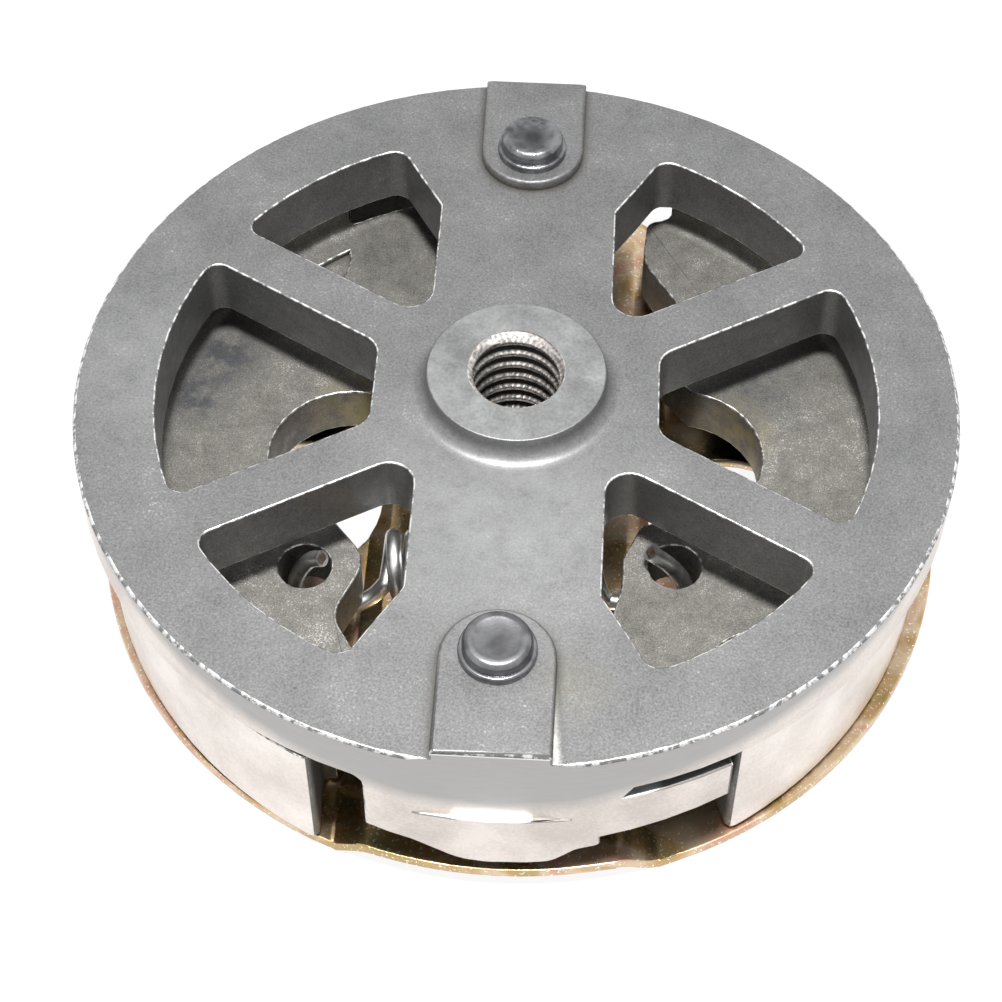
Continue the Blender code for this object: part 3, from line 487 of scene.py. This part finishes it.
def thread_steel():
    """The hub's bore: light crests and entry, and grooves painted dark, as painted shade."""
    metal, nodes, links, shader = new_metal("hub_thread_steel", BARE_METALLIC)
    specks = noise(nodes, links, THREAD_SPECK, detail=2.0)
    light = ramp(nodes, links, specks, [(0.35, SINTER_LIGHT), (0.65, TURNED_DARK)])
    height = aside_and_height(nodes, links)[1]
    radius = distance(nodes, links, stretched(nodes, links, (1.0, 1.0, 0.0)))
    # The deep part of each groove is painted dark, as shade.
    deep = between(nodes, links, radius, (GROOVE_SHADE_RADIUS_START, 0.0), (GROOVE_SHADE_RADIUS_FULL, 1.0))
    below = between(nodes, links, height, (GROOVE_SHADE_TOP_FULL, 1.0), (GROOVE_SHADE_TOP_END, 0.0))
    color = mixed(nodes, links, scaled(nodes, links, deep, below), light, GROOVE_PAINTED_SHADE)
    links.new(color, shader.inputs["Base Color"])
    shader.inputs["Roughness"].default_value = THREAD_ROUGH
    return metal


def whole_copy(node, flat_faces_whole=True):
    """A bmesh of a CAD node with its loose triangles merged, and its flat faces made whole."""
    work = bmesh.new()
    work.from_mesh(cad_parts[node].data)
    bmesh.ops.remove_doubles(work, verts=work.verts, dist=MERGE)
    if flat_faces_whole:
        bmesh.ops.dissolve_limit(work, angle_limit=DISSOLVE_ANGLE, verts=work.verts,
                                 edges=work.edges)
    for face in work.faces:
        face.material_index = SKIN_SLOT
    return work


def wear_edges(work, slot, bore=0.0):
    """Round the outer sharp edges beyond a bore, and give the round its own material slot."""
    outer = [edge for edge in work.edges if edge.is_manifold and edge.is_convex
             and edge.calc_face_angle(0.0) > EDGE_ANGLE
             and edge.verts[0].co.xy.length > bore]
    bmesh.ops.bevel(work, geom=outer, offset=EDGE_WEAR, segments=2, profile=0.5,
                    affect="EDGES", material=slot, clamp_overlap=False)


def paint_turned(work, radius, centre_x=0.0):
    """Give the upright faces outside a cylinder the slot of the turned steel."""
    work.normal_update()
    for face in work.faces:
        middle = face.calc_center_median()
        reach = Vector((middle.x - centre_x, middle.y, 0.0))
        outward = face.normal.dot(reach.normalized()) > FACES_OUTWARD
        upright = abs(face.normal.z) < UPRIGHT
        if reach.length > radius and outward and upright and face.material_index == SKIN_SLOT:
            face.material_index = TURNED_SLOT


def flat_areas(work):
    """The area of the flat face that each face of the bmesh is part of."""
    areas = {}
    for start in work.faces:
        if start in areas:
            continue
        group = {start}
        waiting = [start]
        while waiting:
            face = waiting.pop()
            for edge in face.edges:
                for other in edge.link_faces:
                    if other not in group and other.normal.angle(face.normal, 1.0) < FLAT_ANGLE:
                        group.add(other)
                        waiting.append(other)
        area = sum(face.calc_area() for face in group)
        areas.update(dict.fromkeys(group, area))
    return areas


def corner_normals(work):
    """Normals for every face corner: flat faces stay flat, and the rounds between them blend."""
    work.normal_update()
    areas = flat_areas(work)
    normals = []
    for face in work.faces:
        for loop in face.loops:
            total = Vector()
            for other in loop.vert.link_faces:
                if other.normal.angle(face.normal, 1.0) < SMOOTH_ANGLE:
                    total += other.normal * areas[other]
            normals.append(total.normalized() if total.length > 0.0 else face.normal)
    return normals


def finished_piece(name, work, metals):
    """An object from a bmesh, smooth but for its sharp corners, with its flat faces kept flat."""
    normals = corner_normals(work)
    mesh = bpy.data.meshes.new(name)
    work.to_mesh(mesh)
    work.free()
    for metal in metals:
        mesh.materials.append(metal)
    mesh.shade_smooth()
    mesh.normals_split_custom_set(normals)
    piece = bpy.data.objects.new(name, mesh)
    bpy.context.scene.collection.objects.link(piece)
    return piece


def thread_groove():
    """The helical groove of the hub's thread, as a solid to cut with."""
    inside = THREAD_MINOR - THREAD_OVERLAP
    half_inside = THREAD_ROOT / 2 + (THREAD_MAJOR - inside) * math.tan(THREAD_FLANK)
    turns = math.ceil((HUB_TOP - HUB_BOTTOM) / THREAD_PITCH) + 2
    work = bmesh.new()
    corners = [(inside, -half_inside), (THREAD_MAJOR, -THREAD_ROOT / 2),
               (THREAD_MAJOR, THREAD_ROOT / 2), (inside, half_inside)]
    start = HUB_BOTTOM - THREAD_PITCH
    verts = [work.verts.new((radius, 0.0, start + rise)) for radius, rise in corners]
    face = work.faces.new(verts)
    bmesh.ops.spin(work, geom=verts + list(face.edges) + [face], cent=(0.0, 0.0, 0.0),
                   axis=(0.0, 0.0, 1.0), dvec=(0.0, 0.0, THREAD_PITCH / THREAD_STEPS),
                   angle=2 * math.pi * turns, steps=turns * THREAD_STEPS, use_merge=False,
                   use_duplicate=False)
    bmesh.ops.recalc_face_normals(work, faces=work.faces)
    mesh = bpy.data.meshes.new("thread_groove")
    work.to_mesh(mesh)
    work.free()
    return bpy.data.objects.new("thread_groove", mesh)


def paint_worked_faces(work):
    """Give the bore, the hub's face, the pads' ledges and the rim's chamfer their own slots."""
    for face in work.faces:
        middle = face.calc_center_median()
        radius = math.hypot(middle.x, middle.y)
        chamfer = radius > TURNED_RADIUS and UPRIGHT < face.normal.z < LEVEL
        # The lugs' ledges get the slot of the painted highlight.
        ledge = radius > LEDGE_RADIUS and face.normal.z > UPRIGHT and middle.z < LEDGE_TOP
        if radius < BORE_RADIUS:
            face.material_index = THREAD_SLOT
        elif middle.z > HUB_TOP - HUB_FACE_DEPTH:
            face.material_index = FACED_SLOT
        elif ledge:
            face.material_index = LEDGE_SLOT
        elif chamfer:
            face.material_index = WORN_SLOT


def with_thread(work):
    """The carrier's bmesh after the thread is cut in its bore."""
    mesh = bpy.data.meshes.new("bored_blank")
    work.to_mesh(mesh)
    work.free()
    blank = bpy.data.objects.new("bored_blank", mesh)
    groove = thread_groove()
    for item in (blank, groove):
        bpy.context.scene.collection.objects.link(item)
    cut = blank.modifiers.new("thread", "BOOLEAN")
    cut.operation = "DIFFERENCE"
    cut.solver = "EXACT"
    cut.object = groove
    graph = bpy.context.evaluated_depsgraph_get()
    threaded = bmesh.new()
    threaded.from_mesh(bpy.data.meshes.new_from_object(blank.evaluated_get(graph)))
    for item in (blank, groove):
        bpy.data.objects.remove(item, do_unlink=True)
    for face in threaded.faces:
        face.material_index = SKIN_SLOT
    return threaded


def make_carrier():
    work = with_thread(whole_copy("carrier", flat_faces_whole=False))
    wear_edges(work, WORN_SLOT, bore=BORE_RADIUS)
    paint_turned(work, TURNED_RADIUS)
    paint_worked_faces(work)
    skin = sintered_steel("sintered_steel",
                          (SINTER_PIT, SINTER_DARK, SINTER_LIGHT, SINTER_GLINT), SINTER_ROUGH,
                          spots=PAINTED_LIGHT_AND_GREASE_SPOTS, ragged=0.5)
    worn = worn_edge("worn_sintered_edge", SINTER_LIGHT, WORN_STEEL)
    turned = turned_steel("turned_sintered_steel", TURNED_DARK, TURNED_LIGHT,
                          fade=(LUG_SKIN_START, LUG_SKIN_FULL, TURNED_GREY))
    faced = turned_steel("faced_hub_steel", FACED_DARK, FACED_LIGHT)
    # The ledges' material paints a highlight on them.
    ledge = turned_steel("ledge_painted_highlight_steel", LEDGE_END, LEDGE_END,
                         fade=(LEDGE_SHINE_START, LEDGE_SHINE_FULL, LEDGE_PAINTED_HIGHLIGHT))
    carrier = finished_piece("carrier_body", work,
                             [skin, worn, turned, faced, thread_steel(), ledge])
    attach(carrier, "carrier_body")
    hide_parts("carrier")


make_carrier()


# The shoes are sintered too, but ground bright outside where they rub on the drum. Each is a
# heavy rim wall with a thin web, and slides out from under the disc.

SHOE_PIT = (0.05, 0.047, 0.042)
SHOE_DARK = (0.125, 0.119, 0.107)
SHOE_LIGHT = (0.22, 0.21, 0.192)
SHOE_GLINT = (0.78, 0.76, 0.72)
GROUND_DARK = (0.72, 0.65, 0.60)
GROUND_LIGHT = (0.92, 0.86, 0.81)
GROUND_RADIUS = 41.2 * MM
GROUND_CENTRE_X = 2.6 * MM
SHOE_ROUGH = 0.58
SHOE_CLOUD = 0.24
SHOE_GRIT = 0.5
SHOE_GRAIN = 0.12 * MM
SHOE_GRAIN_DEPTH = 0.01 * MM
FLOOR_DARK = (0.04, 0.045, 0.055)
NOTCH_PAINTED_REFLECTION = (0.30, 0.25, 0.12)
WEB_TOP = 10.4 * MM
NOTCH_MIDDLE = 7.5 * MM
# Three dark stains on the webs, and two spots that paint the zinc plate's olive reflection on the
# notch walls.
FLOOR_STAINS_AND_REFLECTIONS = (((-29.0 * MM, 11.0 * MM, WEB_TOP), 5 * MM, 0.8, FLOOR_DARK),
                ((-31.0 * MM, 5.5 * MM, WEB_TOP), 4.5 * MM, 0.8, FLOOR_DARK),
                ((22.0 * MM, 9.0 * MM, WEB_TOP), 7 * MM, 0.5, FLOOR_DARK),
                ((-14.0 * MM, 5.0 * MM, NOTCH_MIDDLE), 7 * MM, 0.9, NOTCH_PAINTED_REFLECTION),
                ((20.0 * MM, 4.0 * MM, NOTCH_MIDDLE), 6 * MM, 0.9, NOTCH_PAINTED_REFLECTION))

shoe_skin = sintered_steel("shoe_sintered_steel",
                           (SHOE_PIT, SHOE_DARK, SHOE_LIGHT, SHOE_GLINT), SHOE_ROUGH,
                           cloud=SHOE_CLOUD, grit=SHOE_GRIT, grain=SHOE_GRAIN,
                           depth=SHOE_GRAIN_DEPTH, spots=FLOOR_STAINS_AND_REFLECTIONS)
shoe_edge = worn_edge("worn_shoe_edge", SHOE_LIGHT, WORN_STEEL)
shoe_ground = turned_steel("ground_shoe_face", GROUND_DARK, GROUND_LIGHT)


def make_shoe(side):
    work = whole_copy(side + "_shoe")
    wear_edges(work, WORN_SLOT)
    centre_x = GROUND_CENTRE_X if side == "left" else -GROUND_CENTRE_X
    paint_turned(work, GROUND_RADIUS, centre_x)
    shoe = finished_piece(side + "_shoe_body", work, [shoe_skin, shoe_edge, shoe_ground])
    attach(shoe, side + "_shoe_body")
    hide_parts(side + "_shoe")


make_shoe("left")
make_shoe("right")


# The retainer plate is pressed from thin sheet, with its middle strip raised to the lugs, and
# plated with yellow zinc, whose passivation shimmers from gold to green and pink. Its upper side
# is painted black under the shoes, as painted shade.

ZINC_GOLD = (0.56, 0.36, 0.16)
ZINC_GREEN = (0.40, 0.34, 0.15)
ZINC_PINK = (0.66, 0.40, 0.28)
ZINC_PALE = (0.74, 0.58, 0.40)
ZINC_FLECK = (0.96, 0.90, 0.80)
ZINC_FILM = 9.0 * MM
ZINC_SPECK = 0.3 * MM
ZINC_GRAIN = 0.45 * MM
ZINC_GRAIN_DEPTH = 0.012 * MM
UNDER_SHOE_PAINTED_SHADE = (0.03, 0.027, 0.02)
PLATE_SHADE_START = 13 * MM
PLATE_SHADE_FULL = 19 * MM
PLATE_SHADE_END = 34 * MM
PLATE_SHADE_FADE = 2 * MM
PLATE_SHADE_SHARE = 0.93
PLATE_SHADE_SKIN_START = 0.5 * MM
PLATE_SHADE_SKIN_FULL = 0.9 * MM
BEND_PLACES = (11.6 * MM, 14.0 * MM)
BEND_ROUND = 0.9 * MM
BEND_LENGTH = 5 * MM
BEND_PLAY = 0.1 * MM


def yellow_zinc():
    metal, nodes, links, shader = new_metal("yellow_zinc", 1.0)
    film = noise(nodes, links, ZINC_FILM, detail=3.0, distortion=1.2)
    color = ramp(nodes, links, film, [(0.30, ZINC_GREEN), (0.42, ZINC_GOLD), (0.52, ZINC_PALE),
                                      (0.62, ZINC_PINK), (0.74, ZINC_GOLD)])
    flecks = noise(nodes, links, ZINC_SPECK, detail=1.0)
    bright = between(nodes, links, flecks, (0.63, 0.0), (0.70, 1.0))
    color = mixed(nodes, links, bright, color, ZINC_FLECK)
    aside, height = aside_and_height(nodes, links)
    away = distance(nodes, links, own_place(nodes))
    # Under the shoes the upper side is painted black, as shade.
    under_shoe_shade = between(nodes, links, aside, (PLATE_SHADE_START, 0.0), (PLATE_SHADE_FULL, PLATE_SHADE_SHARE))
    inside = between(nodes, links, away, (PLATE_SHADE_END - PLATE_SHADE_FADE, 1.0), (PLATE_SHADE_END, 0.0))
    above = between(nodes, links, height, (PLATE_SHADE_SKIN_START, 0.0), (PLATE_SHADE_SKIN_FULL, 1.0))
    under_shoe_shade = scaled(nodes, links, scaled(nodes, links, under_shoe_shade, inside), above)
    links.new(mixed(nodes, links, under_shoe_shade, color, UNDER_SHOE_PAINTED_SHADE), shader.inputs["Base Color"])
    rough = between(nodes, links, film, (0.3, 0.24), (0.7, 0.36))
    links.new(rough, shader.inputs["Roughness"])
    bump(nodes, links, shader, noise(nodes, links, ZINC_GRAIN, detail=1.0), ZINC_GRAIN_DEPTH)
    return metal


def is_bend(edge):
    """Whether an edge is one of the long straight bends beside the plate's raised strip."""
    start, end = (vert.co.x for vert in edge.verts)
    straight = abs(start - end) < BEND_PLAY
    placed = any(abs(abs(start) - place) < BEND_PLAY for place in BEND_PLACES)
    return edge.calc_length() > BEND_LENGTH and straight and placed


def make_plate():
    work = whole_copy("retainer_plate")
    bends = [edge for edge in work.edges if is_bend(edge)]
    bmesh.ops.bevel(work, geom=bends, offset=BEND_ROUND, segments=4, profile=0.5,
                    affect="EDGES", material=-1, clamp_overlap=False)
    wear_edges(work, SKIN_SLOT)
    plate = finished_piece("retainer_plate_body", work, [yellow_zinc()])
    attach(plate, "carrier_body")
    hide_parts("retainer_plate")


make_plate()


# The two rivets are dark polished steel. Each has a collar on the carrier's pad, a round cap
# with a bright rim and a shallow dish, and a flat tail under the plate's raised strip.

RIVET_TONES = {"front": ((0.125, 0.123, 0.13), (0.27, 0.27, 0.28)),
               "rear": ((0.10, 0.10, 0.105), (0.30, 0.30, 0.31))}
RIVET_SMEAR = 1.5 * MM
DISH_SHADE = {"front": 0.3, "rear": 0.85}
DENT_SIZE = {"front": 0.3 * MM, "rear": 0.7 * MM}
DENT_DEPTH = {"front": 0.008 * MM, "rear": 0.06 * MM}
RIVET_PLACE = {"front": -29.7 * MM, "rear": 29.7 * MM}
RIVET_STEPS = 64
PAD_TOP = 21.3 * MM
SHANK_RADIUS = 2.1 * MM
COLLAR_RADIUS = 3.35 * MM
COLLAR_HEIGHT = 0.75 * MM
COLLAR_ROUND = 0.25 * MM
CAP_RADIUS = 3.0 * MM
CAP_HEIGHT = 2.1 * MM
CAP_ROUND = 0.75 * MM
CAP_FOOT_HEIGHT = 0.2 * MM
CAP_FOOT_WIDTH = 0.05 * MM
DISH_RADIUS = 1.95 * MM
DISH_DEPTH = 0.3 * MM
DISH_SHADE_REACH = 1.25 * DISH_RADIUS
TAIL_RADIUS = 3.3 * MM
TAIL_TOP = 1.6 * MM
TAIL_BOTTOM = 0.4 * MM


def rivet_steel(end):
    metal, nodes, links, shader = new_metal(end + "_rivet_steel", 1.0)
    smear = noise(nodes, links, RIVET_SMEAR, detail=4.0)
    dark, light = RIVET_TONES[end]
    color = ramp(nodes, links, smear, [(0.35, dark), (0.65, light)])
    middle = (0.0, RIVET_PLACE[end], PAD_TOP + CAP_HEIGHT)
    dish = near(nodes, links, middle, DISH_SHADE_REACH)
    dish = scaled(nodes, links, dish, DISH_SHADE[end])
    links.new(mixed(nodes, links, dish, color, SINTER_PIT), shader.inputs["Base Color"])
    rough = between(nodes, links, smear, (0.3, 0.38), (0.7, 0.27))
    links.new(rough, shader.inputs["Roughness"])
    dents = noise(nodes, links, DENT_SIZE[end], detail=2.0, distortion=0.6)
    bump(nodes, links, shader, dents, DENT_DEPTH[end])
    return metal


def quarter(centre, radius, start, end, steps=5):
    """Points of a round in the profile plane, from one angle to another."""
    points = []
    for step in range(steps + 1):
        angle = math.radians(start + (end - start) * step / steps)
        points.append((centre[0] + radius * math.cos(angle),
                       centre[1] + radius * math.sin(angle)))
    return points


def rivet_profile():
    """The rivet's outline from the dish in its cap down to its tail, as (radius, height)."""
    top = PAD_TOP + CAP_HEIGHT
    collar_top = PAD_TOP + COLLAR_HEIGHT
    rim_middle = (CAP_RADIUS - CAP_ROUND, top - CAP_ROUND)
    dish_lip = (DISH_RADIUS + CAP_RADIUS - CAP_ROUND) / 2
    points = [(0.0, top - DISH_DEPTH), (DISH_RADIUS * 0.7, top - DISH_DEPTH * 0.95),
              (DISH_RADIUS, top - DISH_DEPTH * 0.7), (dish_lip, top - DISH_DEPTH * 0.08)]
    points += quarter(rim_middle, CAP_ROUND, 90.0, 0.0)
    points += [(CAP_RADIUS - CAP_FOOT_WIDTH, collar_top + CAP_FOOT_HEIGHT)]
    points += [(CAP_RADIUS, collar_top)]
    points += quarter((COLLAR_RADIUS - COLLAR_ROUND, collar_top - COLLAR_ROUND), COLLAR_ROUND,
                      90.0, 0.0, steps=3)
    points += [(COLLAR_RADIUS, PAD_TOP), (SHANK_RADIUS, PAD_TOP), (SHANK_RADIUS, TAIL_TOP)]
    points += [(TAIL_RADIUS, TAIL_TOP)]
    points += quarter((TAIL_RADIUS - CAP_ROUND, TAIL_BOTTOM + CAP_ROUND), CAP_ROUND, 0.0, -90.0)
    points += [(0.0, TAIL_BOTTOM)]
    return points


def make_rivet(end):
    work = bmesh.new()
    verts = [work.verts.new((radius, 0.0, height)) for radius, height in rivet_profile()]
    edges = [work.edges.new(pair) for pair in zip(verts, verts[1:])]
    bmesh.ops.spin(work, geom=verts + edges, cent=(0.0, 0.0, 0.0), axis=(0.0, 0.0, 1.0),
                   angle=2 * math.pi, steps=RIVET_STEPS, use_merge=True, use_duplicate=False)
    bmesh.ops.remove_doubles(work, verts=work.verts, dist=MERGE)
    bmesh.ops.recalc_face_normals(work, faces=work.faces)
    bmesh.ops.translate(work, verts=work.verts, vec=(0.0, RIVET_PLACE[end], 0.0))
    rivet = finished_piece(end + "_rivet_body", work, [rivet_steel(end)])
    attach(rivet, "carrier_body")
    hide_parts(end + "_rivet")


make_rivet("front")
make_rivet("rear")


# The two tension springs are bright wire, close-coiled under the wide spokes. Each end dives
# under a shoe's web and hooks up through its hole; each spring is drawn as two halves.

WIRE_DARK = (0.46, 0.46, 0.45)
WIRE_LIGHT = (0.80, 0.80, 0.79)
CUT_DARK = (0.10, 0.07, 0.05)
CUT_LIGHT = (0.34, 0.27, 0.22)
CUT_RING = 0.2 * MM
CUT_SLOT = 1
WIRE = 1.55 * MM
WIRE_SMEAR = 1.2 * MM
WIRE_GRAIN = 0.25 * MM
WIRE_GRAIN_DEPTH = 0.004 * MM
WIRE_ROUGH = 0.36
WIRE_ROUNDNESS = 5
CAP_REACH = 0.4 * WIRE
COIL_DIAMETER = 6.9 * MM
COIL_TURNS = 10.5
COIL_POINTS = 28
COIL_LEFT = Vector((-11.3 * MM, -12.7 * MM, 9.1 * MM))
COIL_RIGHT = Vector((7.4 * MM, -11.7 * MM, 9.1 * MM))
WEB_BOTTOM = 5.2 * MM
WEB_GAP = 0.15 * MM
LEFT_HOLE = (-18.5 * MM, -14.1 * MM)
RIGHT_HOLE = (15.2 * MM, -12.2 * MM)
HOLE_RADIUS = 2.44 * MM
# A tip is how far it bends back over the hole, how far it rises above the web, and how far to
# the rear of the hole's middle its foot and its end stand.
LEFT_TIP = (1.6 * MM, 0.75 * MM, 0.85 * MM, 0.38 * MM)
RIGHT_TIP = (2.35 * MM, 2.05 * MM, 0.3 * MM, -0.05 * MM)
HOOK_SPACING = 0.3 * MM


def spring_wire():
    metal, nodes, links, shader = new_metal("bright_spring_wire", 1.0)
    smear = noise(nodes, links, WIRE_SMEAR, detail=4.0)
    color = ramp(nodes, links, smear, [(0.3, WIRE_DARK), (0.6, WIRE_LIGHT)])
    links.new(color, shader.inputs["Base Color"])
    shader.inputs["Roughness"].default_value = WIRE_ROUGH
    bump(nodes, links, shader, noise(nodes, links, WIRE_GRAIN), WIRE_GRAIN_DEPTH)
    return metal


def smooth_route(knots, spacing):
    """Points along a smooth curve through the knots, about one spacing apart."""
    route = []
    ends = [knots[0] * 2 - knots[1], *knots, knots[-1] * 2 - knots[-2]]
    for a, b, c, d in zip(ends, ends[1:], ends[2:], ends[3:]):
        steps = max(1, round((c - b).length / spacing))
        for step in range(steps):
            t = step / steps
            route.append((b * 2 + (c - a) * t + (a * 2 - b * 5 + c * 4 - d) * t ** 2
                          + (b * 3 - a - c * 3 + d) * t ** 3) / 2)
    route.append(knots[-1])
    return route


def hook_knots(hole, coil_end, side, tip):
    """The wire's places from the coil's end to its tip; side is -1 on the left.

    The bends are shares of the wire's thickness and of the room to turn in the hole.
    """
    run_z = WEB_BOTTOM - WEB_GAP - WIRE / 2
    turn = (HOLE_RADIUS - WIRE / 2 - WEB_GAP) * 0.8
    tip_reach, tip_rise, rear, tip_rear = tip
    x, y = hole
    entry_x = coil_end.x + side * WIRE * 0.9
    return [
        Vector((entry_x, y * 0.45 + coil_end.y * 0.55, run_z + WIRE * 0.4)),
        Vector((entry_x + side * WIRE * 1.4, y, run_z)),
        Vector((x, y, run_z)),
        Vector((x + side * turn * 0.9, y + rear * 0.8, WEB_BOTTOM + WIRE * 0.25)),
        Vector((x + side * turn * 0.75, y + rear, (WEB_BOTTOM + WEB_TOP) / 2)),
        Vector((x - side * tip_reach * 0.2, y + rear, WEB_TOP - WIRE * 0.2)),
        Vector((x - side * tip_reach, y + tip_rear, WEB_TOP + tip_rise)),
    ]


def coil_points():
    """The front spring's coil, from its left end to its right one."""
    mean_radius = (COIL_DIAMETER - WIRE) / 2
    total = round(COIL_TURNS * COIL_POINTS)
    points = []
    for index in range(total + 1):
        share = index / total
        angle = 2 * math.pi * COIL_TURNS * share - math.pi / 2
        ring = Vector((0.0, math.cos(angle) * mean_radius, math.sin(angle) * mean_radius))
        points.append(COIL_LEFT.lerp(COIL_RIGHT, share) + ring)
    return points


def wire_piece(name, route, turned, metals):
    """A round wire along a route, drawn as a curve and made a mesh, with its ends cut square."""
    curve = bpy.data.curves.new(name, "CURVE")
    curve.dimensions = "3D"
    curve.bevel_depth = WIRE / 2
    curve.bevel_resolution = WIRE_ROUNDNESS
    curve.use_fill_caps = True
    spline = curve.splines.new("POLY")
    spline.points.add(len(route) - 1)
    for point, place in zip(spline.points, route):
        point.co = (*place, 1.0)
    drawn = bpy.data.objects.new(name + "_line", curve)
    bpy.context.scene.collection.objects.link(drawn)
    graph = bpy.context.evaluated_depsgraph_get()
    mesh = bpy.data.meshes.new_from_object(drawn.evaluated_get(graph))
    bpy.data.objects.remove(drawn, do_unlink=True)
    work = bmesh.new()
    work.from_mesh(mesh)
    bmesh.ops.remove_doubles(work, verts=work.verts, dist=MERGE)
    ends = (route[0], route[-1])
    caps = [face for face in work.faces
            if min((face.calc_center_median() - end).length for end in ends) < CAP_REACH]
    bmesh.ops.inset_region(work, faces=caps, thickness=CUT_RING, depth=-CUT_RING / 3)
    for face in caps:
        face.material_index = CUT_SLOT
    if turned:
        bmesh.ops.rotate(work, verts=work.verts, cent=(0.0, 0.0, 0.0),
                         matrix=Matrix.Rotation(math.pi, 3, "Z"))
    return finished_piece(name, work, metals)


def make_spring(end, metals):
    """The front spring, or the rear one, which is the same after half a turn."""
    turned = end == "rear"
    coil = coil_points()
    middle = len(coil) // 2
    hook = smooth_route([coil[0], *hook_knots(LEFT_HOLE, coil[0], -1, LEFT_TIP)], HOOK_SPACING)
    first = hook[::-1] + coil[1:middle + 1]
    hook = smooth_route([coil[-1], *hook_knots(RIGHT_HOLE, coil[-1], 1, RIGHT_TIP)], HOOK_SPACING)
    second = coil[middle:-1] + hook
    sides = ("right", "left") if turned else ("left", "right")
    ends = (coil[0], coil[-1])
    for side, route, coil_end in zip(sides, (first, second), ends):
        half = wire_piece(end + "_spring_" + side + "_half", route, turned, metals)
        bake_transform(half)
        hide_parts(end + "_spring")


spring_metals = [spring_wire(), turned_steel("sheared_wire_end", CUT_DARK, CUT_LIGHT)]
make_spring("front", spring_metals)
make_spring("rear", spring_metals)
